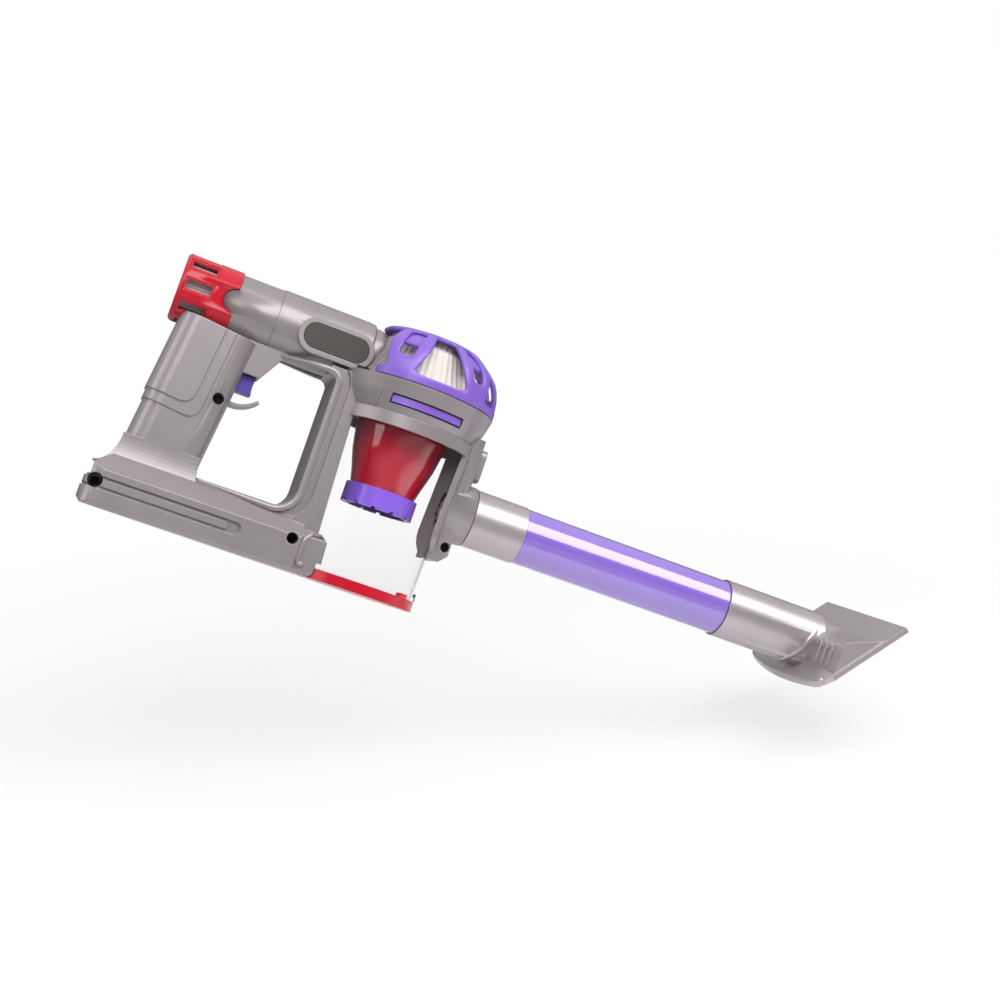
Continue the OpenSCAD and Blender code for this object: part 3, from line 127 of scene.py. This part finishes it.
for step, (at, grey) in zip(ramp.elements, room["steps"]):
    step.color = (grey, grey, grey, 1)
rays = addNode(tree, "ShaderNodeLightPath")
bounced = addNode(tree, "ShaderNodeMath", {"operation": "ADD"},
                  {0: (rays, "Diffuse Depth"), 1: (rays, "Glossy Depth")})
direct = addNode(tree, "ShaderNodeMath", {"operation": "LESS_THAN", 1: room["oneBounce"]}, {0: (bounced, 0)})
straight = addNode(tree, "ShaderNodeMath", {"operation": "MULTIPLY"},
                   {0: (rays, "Is Transmission Ray"), 1: (direct, 0)})
seen = addNode(tree, "ShaderNodeMath", {"operation": "MAXIMUM"},
               {0: (rays, "Is Camera Ray"), 1: (straight, 0)})
mixed = addNode(tree, "ShaderNodeMix", {"data_type": "RGBA", 7: (1, 1, 1, 1)}, {0: (seen, 0), 6: (shade, 0)})
sky = addNode(tree, "ShaderNodeBackground", None, {"Color": (mixed, 2)})
addNode(tree, "ShaderNodeOutputWorld", None, {"Surface": (sky, 0)})
scene.view_settings.view_transform = "Standard"

# Pale floor, level in the photograph, faded out round its rim and clear from below
floorPlan = {"drop": 0.135, "reach": 0.62, "sides": 48, "slope": 14.0, "colour": "#eeeeee", "wash": 0.62,
             "fadeFrom": 0.16, "fadeTo": 0.56}
spin = np.linspace(0, 2 * math.pi, floorPlan["sides"], endpoint=False)
slope = math.radians(floorPlan["slope"])
floorUp = (overhead * math.cos(slope) - ahead * math.sin(slope)).normalized()
floorMid = aim - overhead * floorPlan["drop"]
spots = np.array(floorMid) + floorPlan["reach"] * (np.outer(np.cos(spin), sideways)
                                                   + np.outer(np.sin(spin), floorUp.cross(sideways)))
floorMesh = bpy.data.meshes.new("pale_floor")
floorMesh.from_pydata(spots.tolist(), [], [list(range(len(spots)))])
floor = bpy.data.objects.new("pale_floor", floorMesh)
scene.collection.objects.link(floor)
floorPaint, tree = newTree("matt_white_board")
place = addNode(tree, "ShaderNodeTexCoord")
off = addNode(tree, "ShaderNodeVectorMath", {"operation": "DISTANCE", 1: tuple(floorMid)},
              {0: (place, "Object")})
fade = addNode(tree, "ShaderNodeMapRange", {"interpolation_type": "SMOOTHSTEP",
                                            "From Min": floorPlan["fadeFrom"],
                                            "From Max": floorPlan["fadeTo"]}, {"Value": (off, "Value")})
side = addNode(tree, "ShaderNodeNewGeometry")
clear = addNode(tree, "ShaderNodeMath", {"operation": "MAXIMUM"}, {0: (fade, 0), 1: (side, "Backfacing")})
paint = addNode(tree, "ShaderNodeBsdfDiffuse", {"Color": linearColour(floorPlan["colour"])})
white = addNode(tree, "ShaderNodeEmission", {"Color": (1, 1, 1, 1), "Strength": 1.0})
rays = addNode(tree, "ShaderNodeLightPath")
wash = addNode(tree, "ShaderNodeMath", {"operation": "MULTIPLY", 1: floorPlan["wash"]},
               {0: (rays, "Is Camera Ray")})
paler = addNode(tree, "ShaderNodeMixShader", None, {0: (wash, 0), 1: (paint, 0), 2: (white, 0)})
glass = addNode(tree, "ShaderNodeBsdfTransparent")
both = addNode(tree, "ShaderNodeMixShader", None, {0: (clear, 0), 1: (paler, 0), 2: (glass, 0)})
addNode(tree, "ShaderNodeOutputMaterial", None, {"Surface": (both, 0)})
floorMesh.materials.append(floorPaint)
print("light, room and floor set")

# What all moulded pieces share: the plastic's index, its coat, the depth of its grain in mm and the range
# that the noise mostly keeps to
moulding = {"ior": 1.53, "coatIor": 1.5, "coatRough": 0.08, "grainDepth": 0.1, "noise": (0.3, 0.7), "detail": 2.0,
            "edgeSamples": 4, "stripeBend": 0.4, "stripeDetail": 1.0}


def mouldedPlastic(name, finish):  # cloud is slow colour drift, grain is the mould's fine texture, both in mm
    made, tree = newTree(name)
    place = addNode(tree, "ShaderNodeTexCoord")
    cloud, grain = (addNode(tree, "ShaderNodeTexNoise", {"Scale": 1 / (finish[size] * mm),
                                                         "Detail": moulding["detail"]},
                            {"Vector": (place, "Object")}) for size in ("cloud", "grain"))
    if "stripe" in finish:  # the wave repeats every 2 pi / 20 of its scale
        cloud = addNode(tree, "ShaderNodeTexWave", {"bands_direction": "Z", "Distortion": moulding["stripeBend"],
                                                    "Detail": moulding["stripeDetail"],
                                                    "Scale": math.pi / 10 / (finish["stripe"] * mm)},
                        {"Vector": (place, "Object")})
    tone = addNode(tree, "ShaderNodeMix", {"data_type": "RGBA", 6: linearColour(finish["dark"]),
                                           7: linearColour(finish["light"])}, {0: (cloud, "Fac")})
    if "rear" in finish:  # a second colour behind a place along X
        axes = addNode(tree, "ShaderNodeSeparateXYZ", None, {0: (place, "Object")})
        front = addNode(tree, "ShaderNodeMapRange", {"From Min": finish["rearX"][0] * mm,
                                                     "From Max": finish["rearX"][1] * mm},
                        {"Value": (axes, "X")})
        tone = addNode(tree, "ShaderNodeMix", {"data_type": "RGBA", 6: linearColour(finish["rear"])},
                       {0: (front, 0), 7: (tone, 2)})
    low, high = moulding["noise"]
    rough = addNode(tree, "ShaderNodeMapRange", {"From Min": low, "From Max": high,
                                                 "To Min": finish["rough"] - finish["spread"],
                                                 "To Max": finish["rough"] + finish["spread"]},
                    {"Value": (grain, "Fac")})
    skin = addNode(tree, "ShaderNodeBump", {"Strength": finish["bump"], "Distance": moulding["grainDepth"] * mm},
                   {"Height": (grain, "Fac")})
    if finish["edge"]:  # rounds a moulded edge for the light
        edge = addNode(tree, "ShaderNodeBevel", {"samples": moulding["edgeSamples"],
                                                 "Radius": finish["edge"] * mm})
        tree.links.new(edge.outputs[0], skin.inputs["Normal"])
    body = addNode(tree, "ShaderNodeBsdfPrincipled", {"IOR": moulding["ior"],
                                                      "Metallic": finish.get("metal", 0.0),
                                                      "Coat Weight": finish.get("coat", 0.0),
                                                      "Coat IOR": finish.get("coatIor", moulding["coatIor"]),
                                                      "Coat Roughness": moulding["coatRough"]},
                   {"Base Color": (tone, 2), "Roughness": (rough, 0), "Normal": (skin, 0)})
    addNode(tree, "ShaderNodeOutputMaterial", None, {"Surface": (body, 0)})
    return made


plastics = {
    # satin ABS with a silver pigment: soft broad highlights and a faint cloud in the grey
    "satin_grey_abs": {"dark": "#968f92", "light": "#a69fa2", "rough": 0.34, "spread": 0.04, "cloud": 22.0,
                       "grain": 0.8, "bump": 0.025, "edge": 0.6, "metal": 0.45},
    # the same with more pigment: long bright bands on the neck and the connector
    "silver_grey_abs": {"dark": "#b3abaf", "light": "#c3bbbf", "rough": 0.32, "spread": 0.02, "cloud": 16.0,
                        "grain": 0.9, "bump": 0.01, "edge": 0.5, "metal": 0.65},
    # violet ABS straight from a polished mould: an even, slightly waxy gloss, its grain drawn coarser than the
    # real one so that it doesn't sparkle
    "violet_abs": {"dark": "#7d59c0", "light": "#8b68cd", "rough": 0.27, "spread": 0.004, "cloud": 18.0,
                   "grain": 2.5, "bump": 0.002, "edge": 0.0},
    # darker and glossier for the ring in the bin, and matt and deep for the trigger
    "gloss_violet_abs": {"dark": "#6a48b2", "light": "#7755bf", "rough": 0.2, "spread": 0.01, "cloud": 18.0,
                         "grain": 0.9, "bump": 0.01, "edge": 0.3},
    "deep_violet_abs": {"dark": "#4a3596", "light": "#5a43ac", "rough": 0.34, "spread": 0.04, "cloud": 18.0,
                        "grain": 0.8, "bump": 0.05, "edge": 0.4},
    # extruded tube with a clear gloss skin: a sharp white band along its length
    "gloss_violet_tube": {"dark": "#8460cc", "light": "#9270d8", "rough": 0.2, "spread": 0.03, "cloud": 30.0,
                          "grain": 1.2, "bump": 0.02, "edge": 0.4, "coat": 1.0, "coatIor": 2.1},
    # red ABS: deep colour with a gloss that picks out its edges
    "red_abs": {"dark": "#ba0d26", "light": "#cc142e", "rough": 0.22, "spread": 0.03, "cloud": 18.0,
                "grain": 1.2, "bump": 0.012, "edge": 0.5},
    # the bell is polished, so the lamps show on it as clear shapes
    "gloss_red_abs": {"dark": "#970a22", "light": "#a50e29", "rough": 0.07, "spread": 0.02, "cloud": 18.0,
                      "grain": 1.2, "bump": 0.006, "edge": 0.4, "coat": 0.8, "coatIor": 1.8},
    # printed plate: fine pale lines along its length, drawn coarser than the real ones so that they show
    "badge_grey": {"dark": "#2f2b29", "light": "#524d4a", "rough": 0.34, "spread": 0.05, "cloud": 9.0,
                   "grain": 0.5, "bump": 0.05, "edge": 0.3, "stripe": 1.3},
    # ivory polypropylene: dull, a little yellow in its folds, and grey at the rear, where it stands in for
    # the barrel's end that the photograph shows there
    "ivory_pp": {"dark": "#d9d4c6", "light": "#ece9de", "rough": 0.5, "spread": 0.06, "cloud": 7.0,
                 "grain": 0.5, "bump": 0.12, "edge": 0.25, "rear": "#8f888b", "rearX": (-19.5, -18.5)},
    # pale matt ABS behind the cap's slots and in the filter: light enough to show its ribs
    "vent_grey_abs": {"dark": "#b5adb0", "light": "#c6bfc2", "rough": 0.42, "spread": 0.05, "cloud": 10.0,
                      "grain": 0.5, "bump": 0.1, "edge": 0.3},
    # blackened screws: nearly black in their wells, with a dull metal glint
    "black_zinc": {"dark": "#141315", "light": "#222023", "rough": 0.32, "spread": 0.08, "cloud": 3.0,
                   "grain": 0.3, "bump": 0.15, "edge": 0.15, "metal": 0.6},
    # bright drawn wire and strip: small sharp highlights
    "spring_wire": {"dark": "#a3a4a6", "light": "#bfc0c2", "rough": 0.24, "spread": 0.05, "cloud": 4.0,
                    "grain": 0.3, "bump": 0.08, "edge": 0.1, "metal": 1.0},
    # the pieces inside: black ABS, a rolled steel can, the cells' green sleeve and a milky nylon fan
    "black_abs": {"dark": "#1d1c1e", "light": "#29272a", "rough": 0.42, "spread": 0.05, "cloud": 9.0,
                  "grain": 0.5, "bump": 0.1, "edge": 0.3},
    "rolled_steel_can": {"dark": "#9a9b9c", "light": "#b4b4b5", "rough": 0.3, "spread": 0.06, "cloud": 6.0,
                         "grain": 0.4, "bump": 0.06, "edge": 0.3, "metal": 1.0},
    "cell_sleeve": {"dark": "#3c5a48", "light": "#476a55", "rough": 0.35, "spread": 0.05, "cloud": 8.0,
                    "grain": 0.5, "bump": 0.04, "edge": 0.3},
    "fan_nylon": {"dark": "#c9c7c0", "light": "#d8d6cf", "rough": 0.45, "spread": 0.05, "cloud": 8.0,
                  "grain": 0.5, "bump": 0.08, "edge": 0.3},
}
finishes = {name: mouldedPlastic(name, finish) for name, finish in plastics.items()}

# Clear polystyrene bin: colourless, its thickness drawn by its own edges. The wave of its wall is in mm
clearPlan = {"colour": "#fdfdfd", "wave": 14.0, "waveDepth": 0.2, "bump": 0.02, "detail": 1.0, "haze": 0.006,
             "ior": 1.03, "coat": 0.12}
made, tree = newTree("clear_polystyrene")
place = addNode(tree, "ShaderNodeTexCoord")
wave = addNode(tree, "ShaderNodeTexNoise", {"Scale": 1 / (clearPlan["wave"] * mm), "Detail": clearPlan["detail"]},
               {"Vector": (place, "Object")})
flow = addNode(tree, "ShaderNodeBump", {"Strength": clearPlan["bump"], "Distance": clearPlan["waveDepth"] * mm},
               {"Height": (wave, "Fac")})
haze = addNode(tree, "ShaderNodeMapRange", {"To Min": 0.0, "To Max": clearPlan["haze"]}, {"Value": (wave, "Fac")})
body = addNode(tree, "ShaderNodeBsdfPrincipled", {"Base Color": linearColour(clearPlan["colour"]),
                                                  "IOR": clearPlan["ior"], "Transmission Weight": 1.0,
                                                  "Coat Weight": clearPlan["coat"]},
               {"Roughness": (haze, 0), "Normal": (flow, 0)})
addNode(tree, "ShaderNodeOutputMaterial", None, {"Surface": (body, 0)})
finishes["clear_polystyrene"] = made

wears = {
    "satin_grey_abs": ["shell_right", "shell_left", "release_button", "battery_door"],
    "silver_grey_abs": ["wand_connector", "nozzle"],
    "violet_abs": ["cage", "cage_clip"],
    "gloss_violet_abs": ["cyclone_ring"],
    "deep_violet_abs": ["trigger"],
    "gloss_violet_tube": ["wand_tube"],
    "red_abs": ["vent_cap", "bin_flap"],
    "gloss_red_abs": ["cyclone_bell"],
    "badge_grey": ["badge_plate"],
    "ivory_pp": ["filter_cone"],
    "vent_grey_abs": ["vent_core", "filter_grille"],
    "black_zinc": ["body_screws", "door_screw"],
    "spring_wire": ["trigger_spring", "button_spring", "flap_pin", "battery_contacts"],
    "black_abs": ["trigger_switch", "motor_mount"],
    "rolled_steel_can": ["motor"],
    "cell_sleeve": ["battery_cells"],
    "fan_nylon": ["fan_impeller"],
    "clear_polystyrene": ["dust_bin"],
}
joinReach = 0.002  # mm, joins the facets' doubled corners
for finish, names in wears.items():
    for name in names:
        piece = nodes[name]
        for slot in piece.material_slots:
            slot.material = finishes[finish]
        weld = piece.modifiers.new("join_facets", "WELD")
        weld.merge_threshold = joinReach * mm
nodes["dust_bin"].visible_shadow = False  # lamps shine through the clear wall
print("finishes set on", sum(len(v) for v in wears.values()), "nodes")


def newPiece(name, points, faces, finish, body):  # points are in mm
    mesh = bpy.data.meshes.new(name)
    mesh.from_pydata((points * mm).tolist(), [], faces)
    mesh.polygons.foreach_set("use_smooth", np.ones(len(mesh.polygons), bool))
    mesh.materials.append(finishes[finish])
    piece = bpy.data.objects.new(name, mesh)
    scene.collection.objects.link(piece)
    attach(piece, body)
    return piece


def soften(piece, levels):
    soft = piece.modifiers.new("moulded_round", "SUBSURF")
    soft.levels = soft.render_levels = levels


def bothSides(name, points, faces, finish, body):  # the piece and its mirror image across the XZ plane
    for word, hand in (("left", 1), ("right", -1)):
        newPiece(name + "_" + word, points * np.array([1, hand, 1]), [f[::hand] for f in faces],
                 finish, body)


def roundSweep(path, radii, sections, square):  # a circle carried along a path that lies about square to one axis
    along = np.gradient(path, axis=0)
    along /= np.linalg.norm(along, axis=1, keepdims=True)
    inward = np.cross(along, square)
    inward /= np.linalg.norm(inward, axis=1, keepdims=True)
    outward = np.cross(inward, along)
    spin = np.linspace(0, 2 * math.pi, sections, endpoint=False)[None, :, None]
    circle = inward[:, None, :] * np.cos(spin) + outward[:, None, :] * np.sin(spin)
    rings = path[:, None, :] + radii[:, None, None] * circle
    index = np.arange(len(path) * sections).reshape(len(path), sections)
    following = np.roll(index, -1, axis=1)
    skin = np.stack([index[:-1], index[1:], following[1:], following[:-1]], axis=-1).reshape(-1, 4).tolist()
    return rings.reshape(-1, 3), skin + [index[0].tolist(), index[-1][::-1].tolist()]


# Cage: a profile of radius and height turned about the bin's axis, its columns drawn to the straps' edges,
# with the cells of the windows and slots left out, and a flat back
cagePlan = {"count": 6, "turn": -55.0, "back": 26.8, "wall": 2.4, "levels": 2,
            "radius": [39.6, 39.6, 39.6, 39.55, 39.2, 38.4, 37.1, 35.4, 33.9, 31.6, 29.5, 27.2, 24.6, 21.5,
                       15.0, 8.0, 2.5],
            "height": [99.3, 99.7, 102.6, 103.6, 107.6, 110.6, 114.3, 117.2, 118.9, 121.0, 122.6, 124.2, 125.7,
                       126.9, 127.0, 127.0, 127.0],
            "windowRows": (3, 12), "slotRows": (5, 12), "windowHalf": (13.8, 4.6), "slotHalf": 3.6,
            "strapCells": 5, "slotCell": 2, "windowCells": 3,
            "panelRows": (7, 13), "panelDepth": 1.7, "panelShares": [-1.3, -0.45, 0.45, 1.3]}
cageR, cageZ = np.array(cagePlan["radius"]), np.array(cagePlan["height"])
foot, head = cagePlan["windowRows"]
footHalf, headHalf = cagePlan["windowHalf"]
reachR = np.clip(cageR, cageR[head], None)
climb = np.clip((cageZ - cageZ[foot]) / (cageZ[head] - cageZ[foot]), 0, 1)
opening = np.degrees(np.arcsin((footHalf * (1 - climb) + headHalf * climb) / reachR))
strap = 180 / cagePlan["count"] - opening  # half angle of a strap
slit = np.degrees(np.arcsin(cagePlan["slotHalf"] / reachR))
gap = (360 / cagePlan["count"] - 2 * strap) / cagePlan["windowCells"]
columns = np.stack([-strap, -(strap + slit) / 2, -slit, slit, (strap + slit) / 2, strap, strap + gap,
                    strap + 2 * gap], axis=1)
turns = cagePlan["turn"] + np.arange(cagePlan["count"])[:, None] * 360 / cagePlan["count"]
theta = np.radians((turns[None, :, :] + columns[:, None, :]).reshape(len(cageR), -1))
rowCount, columnCount = theta.shape
points = np.stack([cageR[:, None] * np.cos(theta), cageR[:, None] * np.sin(theta),
                   np.repeat(cageZ[:, None], columnCount, 1)], axis=-1).reshape(-1, 3)
row, column = (a.ravel() for a in np.meshgrid(np.arange(rowCount - 1), np.arange(columnCount), indexing="ij"))
after = (column + 1) % columnCount
quads = np.stack([row * columnCount + column, row * columnCount + after, (row + 1) * columnCount + after,
                  (row + 1) * columnCount + column], axis=1)
sector, cell = column // columns.shape[1], column % columns.shape[1]
onStrap = cell < cagePlan["strapCells"]
inRows = (row >= foot) & (row < head)
slotFoot, slotHead = cagePlan["slotRows"]
inSlot = (cell == cagePlan["slotCell"]) & (row >= slotFoot) & (row < slotHead)
behind = np.all(points[quads][:, :, 0] < -cagePlan["back"], axis=1)
lost = np.cos(np.radians(turns.ravel())) * cageR[foot] < -cagePlan["back"]  # the strap that the flat back cuts off
quads = quads[~((~onStrap & inRows) | inSlot | behind | (lost[sector] & onStrap & inRows))]
points[:, 0] = np.maximum(points[:, 0], -cagePlan["back"])
lid = np.arange((rowCount - 1) * columnCount, rowCount * columnCount)  # closes the flat top
used, again = np.unique(np.concatenate([quads.ravel(), lid]), return_inverse=True)
faces = again[:quads.size].reshape(-1, 4).tolist() + [again[quads.size:].tolist()]
# a sunk panel behind the upper part of each slot, on the same profile drawn inwards
rows = np.arange(*cagePlan["panelRows"])
panelTheta = np.radians(turns[None, :, :] + slit[rows][:, None, None] * np.array(cagePlan["panelShares"]))
panelR = cageR[rows][:, None, None] - cagePlan["panelDepth"]
panelZ = (cageZ[rows] - cagePlan["panelDepth"] * (rows - rows[0]) / len(rows))[:, None, None]
panels = np.stack(np.broadcast_arrays(panelR * np.cos(panelTheta), panelR * np.sin(panelTheta), panelZ), axis=-1)
index = np.arange(panels[..., 0].size).reshape(panels.shape[:3])
patch = np.stack([index[:-1, :, :-1], index[:-1, :, 1:], index[1:, :, 1:], index[1:, :, :-1]], axis=-1)
patch = patch.reshape(-1, 4)
patch = patch[~lost[patch[:, 0] // len(cagePlan["panelShares"]) % cagePlan["count"]]]
kept, again = np.unique(patch, return_inverse=True)
faces += (again.reshape(-1, 4) + len(used)).tolist()
points = np.concatenate([points[used], panels.reshape(-1, 3)[kept]])
cage = newPiece("window_cage", points, faces, "violet_abs", "body")
wall = cage.modifiers.new("wall", "SOLIDIFY")
wall.thickness, wall.offset = cagePlan["wall"] * mm, -1.0
soften(cage, cagePlan["levels"])
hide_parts("cage")
print("cage made")

# Loop bead: a round section carried along the hand loop's edge, under the barrel, down the strut and out on the base
bead = {"edgeX": -38.5, "side": 16.6, "thick": 1.7, "thin": 0.8, "sections": 14, "steps": 24,
        "headZ": 94.5, "headRound": 5.5, "headSide": 6.5, "headFall": 0.9, "headEnd": -76.0,
        "footZ": 25.1, "footRound": 11.5, "footSide": 13.2, "footRise": 0.9, "footEnd": -85.0}
ease = np.linspace(0, 1, bead["steps"])
blend = ease ** 2 * (3 - 2 * ease)
arc = ease[1:] * math.pi / 2
sideY = np.full(len(arc), bead["side"])
headX, headMidZ = bead["edgeX"] - bead["headRound"], bead["headZ"] - bead["headRound"]
footX, footMidZ = bead["edgeX"] - bead["footRound"], bead["footZ"] + bead["footRound"]
headRun = np.stack([bead["headEnd"] + (headX - bead["headEnd"]) * ease,
                    bead["headSide"] + (bead["side"] - bead["headSide"]) * blend,
                    bead["headZ"] - bead["headFall"] * (1 - blend)], axis=1)
headTurn = np.stack([headX + bead["headRound"] * np.sin(arc), sideY,
                     headMidZ + bead["headRound"] * np.cos(arc)], axis=1)
drop = np.stack([np.full(len(arc), bead["edgeX"]), sideY, headMidZ + (footMidZ - headMidZ) * ease[1:]], axis=1)
footTurn = np.stack([footX + bead["footRound"] * np.cos(arc), sideY,
                     footMidZ - bead["footRound"] * np.sin(arc)], axis=1)
footRun = np.stack([footX + (bead["footEnd"] - footX) * ease[1:],
                    bead["side"] + (bead["footSide"] - bead["side"]) * blend[1:],
                    bead["footZ"] + bead["footRise"] * blend[1:]], axis=1)
path = np.concatenate([headRun, headTurn, drop, footTurn, footRun])
swell = np.concatenate([bead["thin"] + (bead["thick"] - bead["thin"]) * blend, np.full(3 * len(arc), bead["thick"]),
                        bead["thick"] + (bead["thin"] - bead["thick"]) * blend[1:]])
points, faces = roundSweep(path, swell, bead["sections"], (0.0, 1.0, 0.0))
bothSides("loop_bead", points, faces, "satin_grey_abs", "body")
print("loop beads made")

# Block rib: the same round section along a hooked line on the side of the base's front block
rib = {"corners": [(-26.4, 19.2, 21.0), (-28.6, 21.8, 18.4), (-30.5, 22.7, 15.8), (-30.8, 22.7, 10.0),
                   (-30.8, 22.7, 5.6), (-30.2, 22.7, 4.6), (-26.6, 22.7, 4.6)],
       "thick": 1.35, "tipShare": 0.35, "steps": 60, "passes": 6, "sections": 12}
corners = np.array(rib["corners"])
reach = np.concatenate([[0], np.cumsum(np.linalg.norm(np.diff(corners, axis=0), axis=1))])
walk = np.linspace(0, reach[-1], rib["steps"])
path = np.stack([np.interp(walk, reach, corners[:, i]) for i in range(3)], axis=1)
for smoothing in range(rib["passes"]):  # each pass draws a point towards its neighbours' middle
    path[1:-1] = (path[:-2] + 2 * path[1:-1] + path[2:]) / 4
swell = rib["thick"] * np.clip(np.minimum(walk, reach[-1] - walk) / rib["thick"], rib["tipShare"], 1)
points, faces = roundSweep(path, swell, rib["sections"], (0.0, 1.0, 0.0))
bothSides("block_rib", points, faces, "satin_grey_abs", "body")
print("block ribs made")

# Barrel nose: a profile of radius along the barrel, turned about its axis, that carries it on to the cage
nosePlan = {"axisZ": 108.7, "turns": 72, "levels": 1,
            "x": [-38.0, -36.5, -34.0, -31.0, -29.4, -28.8, -28.6, -28.4, -27.0, -24.5, -22.6, -21.4, -21.4],
            "r": [15.6, 16.03, 16.03, 16.0, 15.8, 15.4, 14.8, 14.4, 14.4, 14.1, 13.3, 11.6, 8.0]}
spin = np.linspace(0, 2 * math.pi, nosePlan["turns"], endpoint=False)
noseX, noseR = np.array(nosePlan["x"])[:, None], np.array(nosePlan["r"])[:, None]
points = np.stack(np.broadcast_arrays(noseX, noseR * np.cos(spin), nosePlan["axisZ"] + noseR * np.sin(spin)),
                  axis=-1).reshape(-1, 3)
index = np.arange(len(points)).reshape(len(noseX), -1)
following = np.roll(index, -1, axis=1)
faces = np.stack([index[:-1], following[:-1], following[1:], index[1:]], axis=-1).reshape(-1, 4).tolist()
faces += [index[0][::-1].tolist(), index[-1].tolist()]
nose = newPiece("barrel_nose", points, faces, "satin_grey_abs", "body")
soften(nose, nosePlan["levels"])
print("barrel nose made")

# Nozzle trim, in the nozzle's own turn about the wand's axis: a scooped lip where the neck ends, hooked ribs
# on the wall beside it, and a rim round the heel
trim = {"axisZ": 52.6, "turn": 6.0, "sections": 12, "steps": 56, "neckR": 14.7, "lipX": 231.0, "lipScoop": 9.0,
        "scoopPower": 1.5, "lipFrom": 42.0, "lipSpan": 1.67, "lipThick": 2.8, "lipSunk": 2.2, "lipStart": 0.55,
        "lipGain": 0.8, "wallX": 232.2, "ribY": [21.1, 27.5, 33.9], "ribLowZ": 43.8, "ribHighZ": 52.6,
        "hookR": 2.0, "ribThick": 0.9, "riseSteps": 12, "hookSteps": 13, "heelX": 229.0, "heelZ": 33.4,
        "heelSlope": 50.5, "heelHalf": 45.0, "heelRound": 7.0, "heelBow": 5.0, "heelFace": 2.6, "rimIn": 1.5,
        "rimReach": 42.6, "rimThick": 1.4}
alongWand = (1.0, 0.0, 0.0)
# the lip: part of a circle round the neck that sinks back towards its lowest point and swells from nothing
lipFrom = math.radians(trim["lipFrom"])
sweep = np.linspace(lipFrom, -math.pi - lipFrom, trim["steps"])
sink = np.clip((math.sin(lipFrom) - np.sin(sweep)) / trim["lipSpan"], 0, 1)
lipR = trim["neckR"] - trim["lipSunk"]
lipPath = np.stack([trim["lipX"] - trim["lipScoop"] * sink ** trim["scoopPower"], lipR * np.cos(sweep),
                    trim["axisZ"] + lipR * np.sin(sweep)], axis=1)
lipSwell = trim["lipThick"] * np.clip(trim["lipGain"] * np.sqrt(sink) + trim["lipStart"], 0, 1)
made = [roundSweep(lipPath, lipSwell, trim["sections"], alongWand)]
# the ribs: a straight rise that ends in half a circle
hook = np.linspace(0, math.pi, trim["hookSteps"] + 1)[1:]
rise = np.linspace(trim["ribLowZ"], trim["ribHighZ"], trim["riseSteps"])
ribZ = np.concatenate([rise, trim["ribHighZ"] + trim["hookR"] * np.sin(hook)])
ribIn = np.concatenate([np.zeros(len(rise)), trim["hookR"] * (1 - np.cos(hook))])
for hand in (1, -1):
    for y in trim["ribY"]:
        ribPath = np.stack([np.full(len(ribZ), trim["wallX"]), hand * (y - ribIn), ribZ], axis=1)
        made.append(roundSweep(ribPath, np.full(len(ribZ), trim["ribThick"]), trim["sections"], alongWand))
# the rim: a bowed line with round corners, on the plate that leans back by the heel's slope
rimY = np.linspace(-trim["rimReach"], trim["rimReach"], trim["steps"])
past = np.clip(np.abs(rimY) - (trim["heelHalf"] - trim["heelRound"]), 0, None)
rimX = (trim["heelRound"] - np.sqrt(trim["heelRound"] ** 2 - past ** 2)
        - trim["heelBow"] * (1 - (rimY / trim["heelHalf"]) ** 2) + trim["rimIn"])
lean = math.radians(trim["heelSlope"])
rimPath = np.stack([trim["heelX"] + rimX * math.cos(lean) - trim["heelFace"] * math.sin(lean), rimY,
                    trim["heelZ"] + rimX * math.sin(lean) + trim["heelFace"] * math.cos(lean)], axis=1)
made.append(roundSweep(rimPath, np.full(trim["steps"], trim["rimThick"]), trim["sections"],
                       (-math.sin(lean), 0.0, math.cos(lean))))
starts = np.cumsum([0] + [len(p) for p, f in made])
points = np.concatenate([p for p, f in made])
faces = [[i + start for i in face] for start, (p, f) in zip(starts, made) for face in f]
turn = math.radians(trim["turn"])
y, z = points[:, 1].copy(), points[:, 2] - trim["axisZ"]
points[:, 1] = y * math.cos(turn) - z * math.sin(turn)
points[:, 2] = y * math.sin(turn) + z * math.cos(turn) + trim["axisZ"]
newPiece("nozzle_trim", points, faces, "silver_grey_abs", "nozzle")
print("nozzle trim made")
